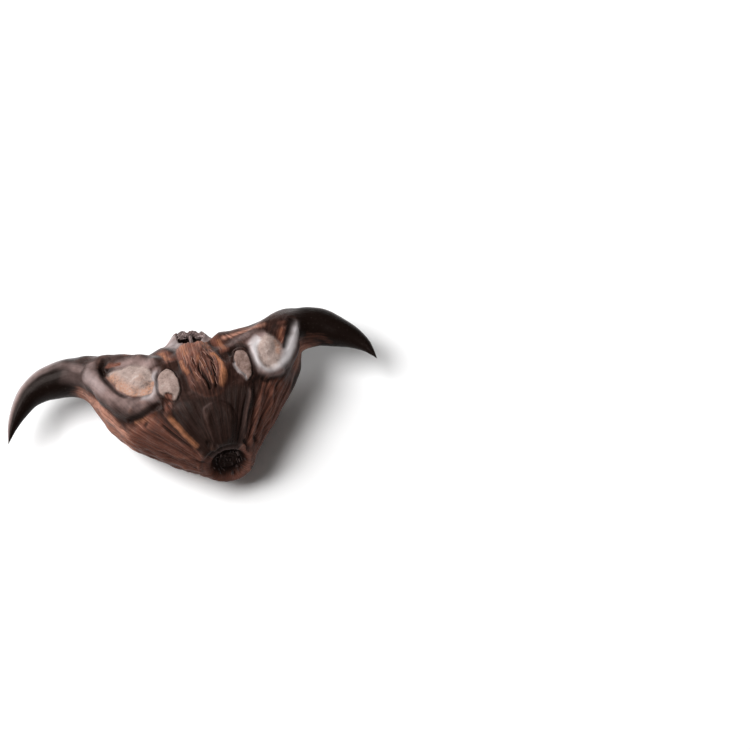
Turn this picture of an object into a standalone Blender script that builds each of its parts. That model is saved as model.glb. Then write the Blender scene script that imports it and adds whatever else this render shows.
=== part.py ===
"""Water chestnut: the two-horned nut of the water caltrop, lying on its back.

The model is in metres with +Z up. The horns spread along X, the crown points to +Y, the stem scar
to -Y, and the patterned face looks up. Lengths below are in millimetres, measured from the crown.
"""

import bpy
import numpy as np

NAME = "water_chestnut"
MM = 0.001

# How finely the skin is divided, from one horn tip to the other and round each section, and the
# share of its triangles that is kept where the relief needs them.
RINGS = 216
SEGMENTS = 176
RING_PLACES = (
    (0.0, -44.2),
    (0.13, -25.0),
    (0.22, -20.0),
    (0.44, -5.0),
    (0.64, 5.0),
    (0.81, 17.0),
    (0.89, 21.5),
    (1.0, 38.0),
)
TRIANGLES_KEPT = 0.155
FRONT_CROWDING = 0.25

# Sections: place along the nut, centre x and y, lean in degrees, half height, half depth.
SECTIONS = (
    (-44.2, -39.0, -12.5, -78, 0.00, 0.00),
    (-41.2, -37.5, -9.3, -64, 0.90, 0.90),
    (-37.3, -35.4, -6.2, -48, 1.70, 1.70),
    (-33.0, -32.6, -3.5, -27, 2.50, 2.45),
    (-29.0, -29.0, -2.2, -6, 3.25, 3.20),
    (-25.5, -25.5, -2.1, 0, 3.70, 3.70),
    (-23.0, -23.0, -3.0, 0, 4.20, 4.30),
    (-21.0, -21.0, -4.8, 0, 5.75, 5.20),
    (-19.7, -19.7, -7.0, 0, 7.50, 6.10),
    (-18.3, -18.3, -8.6, 0, 8.55, 6.80),
    (-15.6, -15.6, -10.7, 0, 9.75, 7.80),
    (-12.3, -12.3, -12.7, 0, 10.80, 8.60),
    (-9.1, -9.1, -14.5, 0, 11.60, 9.10),
    (-5.8, -5.8, -15.6, 0, 12.90, 9.40),
    (0.0, 0.0, -16.7, 0, 14.30, 9.50),
    (6.0, 6.0, -15.7, 0, 11.35, 9.20),
    (9.4, 9.4, -13.8, 0, 9.85, 8.60),
    (12.7, 12.7, -11.3, 0, 8.75, 7.80),
    (15.6, 15.6, -9.1, 0, 7.35, 6.80),
    (17.6, 17.6, -7.2, 0, 5.90, 5.80),
    (18.9, 18.9, -6.1, 3, 4.95, 5.00),
    (20.3, 20.1, -5.6, 8, 4.30, 4.30),
    (24.7, 24.3, -6.5, 25, 3.65, 3.60),
    (28.8, 27.6, -8.8, 38, 2.80, 2.80),
    (31.8, 30.0, -10.9, 47, 1.95, 1.95),
    (34.7, 31.8, -13.3, 60, 1.05, 1.05),
    (38.0, 33.0, -16.3, 68, 0.00, 0.00),
)
BODY_MIDDLE = -1.2
BODY_REACH = 24.0
BODY_FADE = 9.0
LOW_SHOULDER_FRONT = 0.14
LOW_SHOULDER_BACK = -0.02

# The thick folds that run from each horn down round the pad and turn in under it.
FOLD_LEFT = ((-24.6, -1.0), (-22.4, -3.6), (-20.8, -7.2), (-19.3, -11.4), (-17.4, -14.8),
             (-15.1, -16.8), (-12.2, -17.4), (-9.6, -16.5))
FOLD_RIGHT = ((21.8, -3.9), (19.6, -5.7), (18.0, -8.4), (16.6, -11.4), (14.7, -14.1),
              (12.6, -15.4), (10.6, -15.2))
FOLD_HEIGHT = 1.35
FOLD_REACH = 3.1

# The upper fold, along the ridge between the horn and the crown.
BROW_LEFT = ((-24.0, -0.2), (-19.0, -2.2), (-14.0, -3.8), (-9.5, -6.0), (-7.4, -9.0))
BROW_RIGHT = ((21.0, -3.6), (17.0, -4.2), (13.4, -5.6), (9.6, -7.4), (7.6, -9.4))
BROW_HEIGHT = 0.75
BROW_REACH = 2.3

# Oval pads: centre, half length, half width, turn of the long axis in degrees, height.
PADS = (
    (-12.9, -10.9, 5.6, 3.6, -42, 0.50),
    (12.7, -10.9, 3.7, 2.7, 48, 0.50),
    (-6.4, -14.2, 3.9, 2.3, 104, 0.75),
    (8.0, -14.3, 3.8, 1.65, 90, 0.75),
)
PAD_GROOVE = 0.36

# The fibrous shield below the crown, and the long boss below it.
SHIELD = (0.9, -11.2, 8.8, 5.0, 92, 0.95)
STRANDS = 2.3
STRAND_DEPTH = 0.17
BOSS = (1.1, -24.2, 4.3, 2.8, 98, 0.70)
PIT_LEFT = (-17.2, -6.4)
PIT_DEPTH = 0.7
PIT_REACH = 2.2

# Ribs that gather at the stem scar: the path on the face, height and reach.
RIBS = (
    (((-0.9, -21.2), (-1.4, -24.5), (-1.6, -28.0)), 0.50, 1.05),
    (((8.2, -18.0), (7.1, -21.8), (5.4, -25.2), (3.6, -28.2)), 0.75, 1.30),
    (((-9.0, -18.4), (-8.1, -21.1), (-5.8, -24.8), (-3.8, -28.0)), 0.75, 1.60),
    (((-14.6, -19.0), (-12.0, -20.8), (-8.2, -24.4), (-4.4, -28.3)), 0.42, 1.25),
    (((-17.8, -16.8), (-14.0, -20.6), (-9.2, -25.3), (-4.8, -28.9)), 0.42, 1.25),
    (((-20.0, -13.0), (-16.4, -18.9), (-11.2, -24.4), (-5.6, -29.2)), 0.42, 1.25),
    (((-22.9, -6.6), (-20.8, -10.8), (-18.2, -16.4), (-13.5, -22.6), (-7.6, -27.4)), 0.42, 1.35),
    (((10.4, -17.6), (9.1, -21.2), (7.6, -24.0), (5.1, -27.2)), 0.42, 1.15),
    (((13.0, -17.0), (11.2, -20.6), (8.6, -24.0), (5.7, -27.5)), 0.42, 1.15),
    (((19.0, -9.0), (17.0, -13.0), (14.2, -17.4), (11.0, -21.6), (6.6, -27.0)), 0.45, 1.30),
)
KEELS = ((-22.5, -6.5), (19.5, 6.5))
KEEL_HEIGHT = 0.4
KEEL_REACH = 1.5
RIB_KNOB = 0.6
RIB_KNOB_REACH = 1.1

# A slow unevenness of the whole skin: height and the turns per millimetre along x and y.
SWAY = 0.14
SWAY_TURNS = (0.62, 0.81)

# The crown: a short collar round a hollow, leaning to the face and a little to the left.
CROWN_AT = (-0.5, -3.2, 1.2)
CROWN_AXIS = (0.20, 0.765, 0.612)
CROWN_HOLLOW = 2.1
CROWN_RIM = 2.9
CROWN_FOOT = 5.9
CROWN_HEIGHT = 2.1
CROWN_FLOOR = -1.2
CROWN_TEETH = 9
CROWN_TOOTH = 0.35
CROWN_SLOPE = 1.7

# The stem scar: a ring round a pit, tilted towards the face.
SCAR_AT = (0.4, -29.3, 0.6)
SCAR_AXIS = (0.0, -0.951, 0.309)
SCAR_PIT = 2.9
SCAR_RIM = 3.9
SCAR_EDGE = 4.7
SCAR_FOOT = 6.2
SCAR_DEPTH = 2.0
SCAR_LIP = 0.35

# The back: the same marks, lower, and a bulge with the small flat spot that the nut rests on.
BACK_SHARE = 0.6
BACK_BULGE = 0.8
BACK_BULGE_AT = (-2.2, -13.2)
BACK_BULGE_REACH = (6.5, 6.5)
BACK_CALM = (4.8, 8.5)
REST_DEPTH = 9.45
SPOT_TRIM = 0.09

HUSK_COLOUR = (0.055, 0.034, 0.026, 1.0)
HUSK_ROUGHNESS = 0.42
HUSK_METALLIC = 0.0


def through(places, values, at):
    """A smooth curve through the values that never overshoots them."""
    places = np.asarray(places, float)
    values = np.asarray(values, float)
    step = np.diff(places)
    rise = np.diff(values) / step
    slope = np.zeros(len(places))
    slope[0] = rise[0]
    slope[-1] = rise[-1]
    before = rise[:-1]
    after = rise[1:]
    same = before * after > 0
    first = (2 * step[1:] + step[:-1])[same]
    second = (step[1:] + 2 * step[:-1])[same]
    slope[1:-1][same] = (first + second) / (first / before[same] + second / after[same])
    i = np.clip(np.searchsorted(places, at, side="right") - 1, 0, len(step) - 1)
    t = (at - places[i]) / step[i]
    start = (2 * t**3 - 3 * t**2 + 1) * values[i] + (t**3 - 2 * t**2 + t) * step[i] * slope[i]
    end = (3 * t**2 - 2 * t**3) * values[i + 1] + (t**3 - t**2) * step[i] * slope[i + 1]
    return start + end


def smooth(low, high, value):
    """0 below low, 1 above high and an even passage between them."""
    t = np.clip((value - low) / (high - low), 0, 1)
    return t * t * (3 - 2 * t)


def bell(distance, reach):
    """1 at no distance, falling softly to 0 at the reach."""
    t = np.clip(1 - (distance / reach) ** 2, 0, 1)
    return t * t


def section(place):
    table = np.array(SECTIONS)
    return [through(table[:, 0], table[:, column], place) for column in range(1, 6)]


def in_body(place):
    """1 in the body and 0 in the horns."""
    return smooth(0, BODY_FADE, BODY_REACH - np.abs(place - BODY_MIDDLE))


def depth_at(place, half_depth, up, out):
    """How far the section stands off the middle plane."""
    low = np.where(out > 0, LOW_SHOULDER_FRONT, LOW_SHOULDER_BACK)
    return half_depth * out * (1 - low * in_body(place) * up)


def plain_skin(place, turn):
    """Points of the nut before its relief, for a place along it and a turn round it."""
    x, y, lean, half_height, half_depth = section(place)
    lean = np.radians(lean)
    up = np.sin(turn)
    out = np.cos(turn)
    return np.stack(
        [
            x + half_height * up * np.sin(lean),
            y + half_height * up * np.cos(lean),
            depth_at(place, half_depth, up, out),
        ],
        axis=-1,
    )


def outward(place, turn):
    """Unit directions square to the plain skin."""
    along = plain_skin(place + 0.05, turn) - plain_skin(place - 0.05, turn)
    around = plain_skin(place, turn + 0.01) - plain_skin(place, turn - 0.01)
    normal = np.cross(along, around)
    length = np.linalg.norm(normal, axis=1, keepdims=True)
    return normal / np.maximum(length, 1e-9)


def on_face(path, side):
    """Points of the plain skin over a path of x and y, on the face (1) or the back (-1)."""
    path = np.asarray(path, float)
    _, y, _, half_height, half_depth = section(path[:, 0])
    up = np.clip((path[:, 1] - y) / half_height, -1, 1)
    out = side * np.sqrt(1 - up**2)
    return np.column_stack([path, depth_at(path[:, 0], half_depth, up, out)])


def finer(path, pieces=5):
    """The path with more points, rounded at its corners."""
    path = np.asarray(path, float)
    knots = np.arange(len(path))
    at = np.linspace(0, len(path) - 1, (len(path) - 1) * pieces + 1)
    return np.column_stack([through(knots, path[:, k], at) for k in range(2)])


def path_distance(points, path):
    """Distance from each point to the path, and how far along it that is, from 0 to 1."""
    best = np.full(len(points), np.inf)
    along = np.zeros(len(points))
    for k in range(len(path) - 1):
        leg = path[k + 1] - path[k]
        t = np.clip((points - path[k]) @ leg / (leg @ leg), 0, 1)
        gap = np.linalg.norm(points - path[k] - t[:, None] * leg, axis=1)
        nearer = gap < best
        best[nearer] = gap[nearer]
        along[nearer] = (k + t[nearer]) / (len(path) - 1)
    return best, along


def oval_distance(points, oval):
    """0 at the oval's centre and 1 on its edge."""
    x, y, half_length, half_width, turn, _ = oval
    turn = np.radians(turn)
    dx = points[:, 0] - x
    dy = points[:, 1] - y
    long = (dx * np.cos(turn) + dy * np.sin(turn)) / half_length
    wide = (-dx * np.sin(turn) + dy * np.cos(turn)) / half_width
    return np.hypot(long, wide)


def ridge(points, path, side, height, reach):
    """A rounded ridge over a path on one face, fading at its two ends."""
    gap, along = path_distance(points, on_face(finer(path), side))
    ends = smooth(0, 0.18, along) * (1 - smooth(0.86, 1.0, along) * 0.7)
    return height * bell(gap, reach) * ends


def pad_relief(points):
    """Four cushions, each set in a groove."""
    raised = np.zeros(len(points))
    groove = np.zeros(len(points))
    for pad in PADS:
        far = oval_distance(points, pad)
        raised = np.maximum(raised, pad[5] * (1 - smooth(0.55, 1.05, far)))
        groove = np.maximum(groove, PAD_GROOVE * bell(far - 1.12, 0.3))
    return raised - groove


def fold_relief(points, side):
    relief = ridge(points, FOLD_LEFT, side, FOLD_HEIGHT, FOLD_REACH)
    relief = np.maximum(relief, ridge(points, FOLD_RIGHT, side, FOLD_HEIGHT, FOLD_REACH))
    relief = np.maximum(relief, ridge(points, BROW_LEFT, side, BROW_HEIGHT, BROW_REACH))
    return np.maximum(relief, ridge(points, BROW_RIGHT, side, BROW_HEIGHT, BROW_REACH))


def rib_relief(points, side):
    """Ribs and the small knobs where they meet the scar."""
    relief = np.zeros(len(points))
    for path, height, reach in RIBS:
        line = on_face(finer(path), side)
        gap, along = path_distance(points, line)
        rib = height * bell(gap, reach) * smooth(0, 0.25, along)
        knob = bell(np.linalg.norm(points - line[-1], axis=1), RIB_KNOB_REACH)
        relief = np.maximum(relief, rib + RIB_KNOB * height * knob)
    return relief


def keel_relief(points):
    """A low rib on each lower edge, between the horn and the scar."""
    relief = np.zeros(len(points))
    for start, end in KEELS:
        place = np.linspace(start, end, 14)
        line = plain_skin(place, np.full(len(place), -np.pi / 2))
        gap, along = path_distance(points, line)
        relief = np.maximum(relief, KEEL_HEIGHT * bell(gap, KEEL_REACH) * smooth(0, 0.2, along))
    return relief


def shield_relief(points):
    """The mound below the crown, drawn into strands that gather towards its foot."""
    far = oval_distance(points, SHIELD)
    spread = 0.55 + 0.45 * smooth(-19.0, -7.0, points[:, 1])
    across = (points[:, 0] - SHIELD[0]) / (SHIELD[3] * spread)
    strand = STRAND_DEPTH * np.cos(2 * np.pi * STRANDS * across + 0.9 * np.sin(points[:, 1]))
    return (SHIELD[5] + strand) * (1 - smooth(0.45, 1.1, far))


def middle_relief(points):
    """The shield, the boss and the deep pit beside the left horn."""
    relief = shield_relief(points)
    relief += BOSS[5] * (1 - smooth(0.5, 1.05, oval_distance(points, BOSS)))
    pit = np.hypot(points[:, 0] - PIT_LEFT[0], points[:, 1] - PIT_LEFT[1])
    return relief - PIT_DEPTH * bell(pit, PIT_REACH)


def sway(points):
    """Slow swells and hollows, so that no stretch of the skin is quite even."""
    x, y, z = points.T
    across = np.sin(SWAY_TURNS[0] * x + 0.3 * z + 0.5)
    down = np.sin(SWAY_TURNS[1] * y - 0.25 * z + 1.1)
    return SWAY * (across * down + 0.5 * np.sin(1.3 * x - 0.9 * y + 0.8 * z))


def relief_of(points, place):
    """How far each point is raised off the plain skin."""
    front = points[:, 2] > 0
    edge = smooth(0.6, 2.6, np.abs(points[:, 2]))
    relief = np.zeros(len(points))
    for side, where in ((1, front), (-1, ~front)):
        seen = points[where]
        marks = pad_relief(seen) + middle_relief(seen)
        ribs = np.maximum(rib_relief(seen, side), keel_relief(seen))
        marks = marks * edge[where] + fold_relief(seen, side) + ribs + sway(seen)
        if side < 0:
            off = np.hypot(seen[:, 0] - BACK_BULGE_AT[0], seen[:, 1] - BACK_BULGE_AT[1])
            marks *= BACK_SHARE * smooth(*BACK_CALM, off)
        relief[where] = marks
    return relief * smooth(0, 4.0, BODY_REACH + 2.5 - np.abs(place - BODY_MIDDLE))


def about_axis(points, at, axis):
    """Height along an axis, distance from it and the part of each point square to it."""
    axis = np.array(axis) / np.linalg.norm(axis)
    gap = points - np.array(at)
    height = gap @ axis
    flat = gap - height[:, None] * axis
    return axis, height, np.linalg.norm(flat, axis=1), flat


def crown(points):
    """The collar and hollow at the top of the nut."""
    axis, height, far, flat = about_axis(points, CROWN_AT, CROWN_AXIS)
    turn = np.arctan2(flat[:, 2], flat[:, 0])
    tooth = CROWN_TOOTH * np.cos(CROWN_TEETH * turn + 1.3 * np.sin(2 * turn))
    top = CROWN_HEIGHT + tooth
    slope = np.clip((CROWN_FOOT - far) / (CROWN_FOOT - CROWN_RIM), 0, 1) ** CROWN_SLOPE
    inner = CROWN_FLOOR + (top - CROWN_FLOOR) * smooth(CROWN_HOLLOW - 0.5, CROWN_RIM, far)
    wanted = np.where(far < CROWN_RIM, inner, top * slope - 0.12 * (far - CROWN_RIM) ** 2)
    share = (1 - smooth(CROWN_RIM + 0.3, CROWN_FOOT, far)) * smooth(-6, -3, height)
    return points + ((wanted - height) * share)[:, None] * axis


def stem_scar(points):
    """The ring and pit at the foot of the nut."""
    axis, height, far, _ = about_axis(points, SCAR_AT, SCAR_AXIS)
    lip = SCAR_LIP * bell(far - 0.5 * (SCAR_RIM + SCAR_EDGE), 0.9)
    wanted = lip - SCAR_DEPTH * (1 - smooth(SCAR_PIT - 0.7, SCAR_RIM, far))
    share = (1 - smooth(SCAR_EDGE, SCAR_FOOT, far)) * smooth(-7, -4, height)
    return points + ((wanted - height) * share)[:, None] * axis


def rest_spot(points):
    """The bulge of the back, cut flat where the nut rests."""
    back = points[:, 2] < 0
    x, y = BACK_BULGE_AT
    wide, tall = BACK_BULGE_REACH
    off = np.hypot((points[:, 0] - x) / wide, (points[:, 1] - y) / tall)
    points[:, 2] -= BACK_BULGE * bell(off, 1.0) * back
    points[:, 2] = np.maximum(points[:, 2], -REST_DEPTH)
    return points


def nut_points(place, turn):
    """The finished skin in millimetres."""
    points = plain_skin(place, turn)
    points = points + outward(place, turn) * relief_of(points, place)[:, None]
    return rest_spot(stem_scar(crown(points)))


def husk_material():
    material = bpy.data.materials.new("husk")
    material.use_nodes = True
    shader = material.node_tree.nodes["Principled BSDF"]
    shader.inputs["Base Color"].default_value = HUSK_COLOUR
    shader.inputs["Roughness"].default_value = HUSK_ROUGHNESS
    shader.inputs["Metallic"].default_value = HUSK_METALLIC
    material.diffuse_color = HUSK_COLOUR
    return material


def set_down(mesh):
    """Centres the nut over the origin, with its rest spot flat on the ground."""
    points = np.empty(len(mesh.vertices) * 3)
    mesh.vertices.foreach_get("co", points)
    points = points.reshape(-1, 3)
    low = points.min(axis=0)
    high = points.max(axis=0)
    points -= [(low[0] + high[0]) / 2, (low[1] + high[1]) / 2, low[2]]
    points[:, 2] = np.where(points[:, 2] < SPOT_TRIM * MM, 0, points[:, 2])
    mesh.vertices.foreach_set("co", points.ravel())
    mesh.update()


def make_nut():
    """A sphere with its poles at the horn tips, drawn out into the nut."""
    bpy.ops.mesh.primitive_uv_sphere_add(segments=SEGMENTS, ring_count=RINGS, radius=1.0)
    nut = bpy.context.object
    nut.name = NAME
    nut.data.name = NAME
    ball = np.empty(len(nut.data.vertices) * 3)
    nut.data.vertices.foreach_get("co", ball)
    ball = ball.reshape(-1, 3)
    ring = np.arccos(np.clip(ball[:, 2], -1, 1)) / np.pi
    places = np.array(RING_PLACES)
    place = through(places[:, 0], places[:, 1], ring)
    turn = np.arctan2(ball[:, 1], ball[:, 0])
    turn = turn - FRONT_CROWDING * np.sin(turn)
    nut.data.vertices.foreach_set("co", (nut_points(place, turn) * MM).ravel())
    nut.data.update()
    keep = nut.modifiers.new("keep_detail", "DECIMATE")
    keep.ratio = TRIANGLES_KEPT
    bpy.ops.object.modifier_apply(modifier=keep.name)
    set_down(nut.data)
    bpy.ops.object.shade_smooth()
    nut.data.materials.append(husk_material())
    return nut


def main():
    for old in list(bpy.data.objects):
        bpy.data.objects.remove(old)
    home = bpy.data.collections.new(NAME)
    bpy.context.scene.collection.children.link(home)
    nut = make_nut()
    for other in list(nut.users_collection):
        other.objects.unlink(nut)
    home.objects.link(nut)


main()
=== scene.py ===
"""A dressed water chestnut: the two-horned nut of the water caltrop, lying on its back.

Lengths in the tables are millimetres measured from the crown. x runs along the horns, y from the
stem scar to the crown, and z stands out of the patterned face.
"""

import math

import bpy
import numpy as np
from bpy.props import FloatProperty, FloatVectorProperty, IntProperty, PointerProperty
from mathutils import Matrix, Vector
from mathutils.bvhtree import BVHTree


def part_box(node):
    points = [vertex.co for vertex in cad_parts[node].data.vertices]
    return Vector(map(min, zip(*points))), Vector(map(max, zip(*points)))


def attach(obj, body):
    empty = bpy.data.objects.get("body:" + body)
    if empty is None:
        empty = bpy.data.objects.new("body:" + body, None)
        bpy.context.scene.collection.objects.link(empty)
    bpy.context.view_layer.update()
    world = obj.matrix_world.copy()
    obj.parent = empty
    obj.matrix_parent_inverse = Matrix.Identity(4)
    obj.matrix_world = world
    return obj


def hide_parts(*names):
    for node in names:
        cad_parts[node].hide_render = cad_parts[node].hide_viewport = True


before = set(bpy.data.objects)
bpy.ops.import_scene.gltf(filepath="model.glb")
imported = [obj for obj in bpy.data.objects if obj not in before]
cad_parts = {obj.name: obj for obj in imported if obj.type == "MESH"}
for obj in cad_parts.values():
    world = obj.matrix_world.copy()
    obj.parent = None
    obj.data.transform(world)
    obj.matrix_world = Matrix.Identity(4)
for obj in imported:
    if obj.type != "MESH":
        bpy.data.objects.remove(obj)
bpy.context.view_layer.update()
NODE = "water_chestnut"
NUT_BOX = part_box(NODE)

bl_info = {
    "name": "Water Chestnut",
    "version": (1, 0, 0),
    "blender": (4, 5, 0),
    "location": "3D View > Sidebar > Nut",
    "description": "Builds a two-horned water chestnut with its husk, bristles and loose fibres",
    "category": "Object",
}

MM = 0.001

# How the skin is divided between the two horn tips: share of the rings and place along the nut.
RING_PLACES = (
    (0.0, -44.2),
    (0.11, -25.5),
    (0.17, -21.5),
    (0.44, -6.0),
    (0.64, 5.0),
    (0.84, 16.5),
    (0.90, 21.0),
    (1.0, 38.0),
)

# How much closer together the face's segments stand than those of the back.
FRONT_CROWDING = 0.28

# Sections: place along the nut, centre x and y, lean in degrees, half height, half depth.
SECTIONS = (
    (-44.2, -39, -12.5, -78, 0, 0),
    (-41.2, -37.5, -9.3, -64, 0.9, 0.9),
    (-37.3, -35.4, -6.2, -48, 1.7, 1.7),
    (-33, -32.6, -3.5, -27, 2.5, 2.45),
    (-29, -29, -2.2, -6, 3.25, 3.2),
    (-25.5, -25.5, -2.1, 0, 3.7, 3.7),
    (-23, -23, -3, 0, 4.2, 4.3),
    (-21, -21, -4.8, 0, 5.75, 5.2),
    (-19.7, -19.7, -7, 0, 7.5, 6.1),
    (-18.3, -18.3, -8.6, 0, 8.55, 6.8),
    (-15.6, -15.6, -10.7, 0, 9.75, 7.8),
    (-12.3, -12.3, -12.7, 0, 10.8, 8.6),
    (-9.1, -9.1, -14.5, 0, 11.6, 9.1),
    (-5.8, -5.8, -15.6, 0, 12.9, 9.4),
    (0, 0, -16.7, 0, 14.3, 9.5),
    (6, 6, -15.7, 0, 11.35, 9.2),
    (9.4, 9.4, -13.8, 0, 9.85, 8.6),
    (12.7, 12.7, -11.3, 0, 8.75, 7.8),
    (15.6, 15.6, -9.1, 0, 7.35, 6.8),
    (17.6, 17.6, -7.2, 0, 5.9, 5.8),
    (18.9, 18.9, -6.1, 3, 4.95, 5),
    (20.3, 20.1, -5.6, 8, 4.3, 4.3),
    (24.7, 24.3, -6.5, 25, 3.65, 3.6),
    (28.8, 27.6, -8.8, 38, 2.8, 2.8),
    (31.8, 30, -10.9, 47, 1.95, 1.95),
    (34.7, 31.8, -13.3, 60, 1.05, 1.05),
    (38, 33, -16.3, 68, 0, 0),
)

# The body: its middle and reach along the nut, how softly it fades into the horns, how much less
# its upper half stands out on the face and on the back, and the height and depth of its middle.
BODY_MIDDLE = -1.2
BODY_REACH = 24.0
BODY_FADE = 9.0
LOW_SHOULDER_FRONT = 0.14
LOW_SHOULDER_BACK = -0.02
MIDDLE_HEIGHT = (-16.7, 14.3)
MIDDLE_DEPTH = 9.5

# The lower edge of the body, left and right: height and distance from the middle.
EDGE_LEFT = ((-31, 1.5), (-28.5, 5.8), (-26.1, 9.1), (-23.5, 12.3), (-20.45, 15.6), (-17.15, 18.3),
             (-14.5, 19.7), (-10.5, 21.2), (-7.2, 23), (-3, 24.5), (4, 24.5))
EDGE_RIGHT = ((-31, 1.5), (-27.05, 6), (-23.65, 9.4), (-20.05, 12.7), (-16.45, 15.6),
              (-13.1, 17.6), (-11.05, 18.9), (-9, 20.6), (-5, 21.5), (4, 21.5))

# The line above which the ribs of the lower body begin.
RIBS_BEGIN = ((-24, -6.4), (-22.6, -8.4), (-20.9, -12.2), (-19.2, -15.6), (-17.3, -17.9),
              (-14.4, -18.9), (-10.6, -18.3), (-8.4, -19.4), (-5.2, -19.6), (-2.6, -18.4), (1.4, -19.9),
              (4.8, -18), (7.6, -18.6), (10.4, -17.4), (13.6, -17.2), (16, -15.6), (18, -12.9),
              (20, -9.6), (21.6, -8))

# The thick folds that run from each horn round the pad, and the upper folds towards the crown.
FOLD_LEFT = ((-24.4, -1), (-22, -3.8), (-20.2, -7.2), (-18.5, -11), (-16.7, -13.9),
             (-14.3, -15.9), (-11.8, -16.6), (-9.6, -16.2))
FOLD_RIGHT = ((21.9, -3.6), (20.4, -5.6), (18.9, -8.6), (17.5, -11.2), (16, -13.5),
              (14.2, -15.2), (12.4, -16.2))
BROW_LEFT = ((-24, -0.2), (-19, -2.2), (-14, -3.8), (-9.5, -6), (-7.4, -9))
BROW_RIGHT = ((21, -3.6), (17, -4.2), (13.4, -5.6), (9.6, -7.4), (7.6, -9.4))
FOLD_REACH = 3.1
BROW_REACH = 2.6

# Raised patches: outline, height of the edge, extra height in the middle, the depth and reach of
# the groove round it, the softness of its upper and its lower edge, and its paleness.
LEFT_PAD = ((-17.3, -6.6), (-17.4, -7.6), (-17.2, -8.9), (-16.6, -10.3), (-16, -11.6),
            (-14.8, -13.3), (-13.4, -14.4), (-12, -15), (-10.6, -15.3), (-9.8, -14.8),
            (-9.25, -13.5), (-9.1, -12), (-9, -10.2), (-9.5, -8.6), (-10.8, -7.3), (-12.4, -6.7),
            (-14.2, -6.8), (-15.6, -6.5), (-16.6, -6.2))
RIGHT_PAD = ((13.6, -8.4), (15, -9.2), (15.8, -10.7), (15.6, -12.4), (14.6, -14.2), (13.4, -15.5),
             (12.2, -16.1), (11.2, -15.7), (10.8, -14.2), (11, -12.2), (11.8, -9.8))
LEFT_OVAL = ((-6, -10.6), (-7, -10.8), (-8, -11.9), (-8.4, -13.5), (-8.4, -15.5), (-8, -16.7),
             (-7.1, -17.5), (-6, -17.8), (-5, -16.6), (-4.4, -14.6), (-4.6, -13.1), (-5, -11.6))
RIGHT_OVAL = ((8.4, -10.8), (7.4, -10.8), (6.8, -12.1), (6.7, -13.7), (7, -15), (7.5, -16.4),
              (8.1, -17.5), (8.6, -17.2), (9.2, -16.2), (9.5, -14.6), (9.5, -12.6), (9.1, -11.4))
PATCHES = (
    (LEFT_PAD, 0.08, 0.4, 0, 0.3, 1.4, 0.4, 1),
    (RIGHT_PAD, 0.06, 0.36, 0, 0.26, 1.5, 0.95, 1),
    (LEFT_OVAL, 0.3, 0.24, 0.13, 0.28, 0.26, 0.26, 0.62),
    (RIGHT_OVAL, 0.24, 0.1, 0.16, 0.28, 0.26, 0.26, 0.25),
)

# Outlines of the fibrous shield and of the boss above the scar, and how far each stands out.
SHIELD = ((-1.8, -3.8), (-3.2, -4.6), (-3.7, -6.4), (-3.6, -8.4), (-3.5, -10.7), (-3.3, -13.3),
          (-2.9, -15.4), (-2.2, -17.4), (-0.8, -18.9), (0.8, -19.4), (2.4, -19.2), (3.5, -18.3),
          (4.5, -16.6), (5.1, -14.2), (5, -12.3), (4, -10.3), (3.1, -8.3), (2.6, -6.4),
          (1.6, -4.2), (0, -3.4))
SHIELD_HEIGHT = 0.95
BOSS = ((-1.5, -23.6), (-1.6, -22.2), (-0.9, -21.1), (0.8, -20.6), (2.4, -20.9), (3.6, -22.2),
        (3.9, -24), (3.4, -25.8), (2.6, -27.4), (1.2, -28.2), (-0.2, -28.2), (-1, -27.4),
        (-1.3, -25.6))
BOSS_HEIGHT = 0.62

# A pit at the upper end of the left pad: x, y, depth and reach.
PIT_LEFT = (-17.2, -6.4, 0.7, 2.2)

# Deep grooves between the folds and the pads, and hollows under the folds: path, depth, the
# reach at its start and at its end.
GROOVES = (
    (((-16.6, -3.9), (-17.6, -4.2), (-18.1, -5.6), (-18.1, -7.4), (-17.6, -9.2), (-16.9, -10.8),
      (-16.1, -12.4), (-14.8, -13.9), (-13.4, -14.9)), 0.6, 0.85, 0.32),
    (((19.4, -5.4), (18.8, -6.8), (18.1, -8.2), (17.2, -9.9), (16.4, -11.4), (15.7, -12.6)),
     0.58, 1.15, 0.5),
    (((-15.8, -17.6), (-14.4, -18), (-12.6, -18.2), (-10.4, -18), (-8.9, -17.4)), 0.42, 0.9, 0.8),
    (((8.4, -18.3), (10.6, -17.4), (11.4, -17.9), (12.6, -17.4), (15, -16.2)), 0.34, 0.9, 0.6),
    (((6.2, -11.6), (6.3, -10.2), (6.9, -9.4), (8, -9), (9.1, -9.6), (9.7, -10.8),
      (9.95, -12.3), (10.1, -14.3), (10.25, -15.6), (10.6, -17.2)), 0.42, 0.6, 0.62),
    (((-7.3, -9.9), (-8.1, -11.2), (-8.55, -12.7), (-8.75, -14.5), (-8.75, -15.7), (-8.5, -17)),
     0.28, 0.26, 0.28),
    (((-10, -20.9), (-8.1, -23.5), (-6.3, -25.4), (-4.6, -27), (-3.6, -28)), 0.22, 0.5, 0.4),
)

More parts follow.
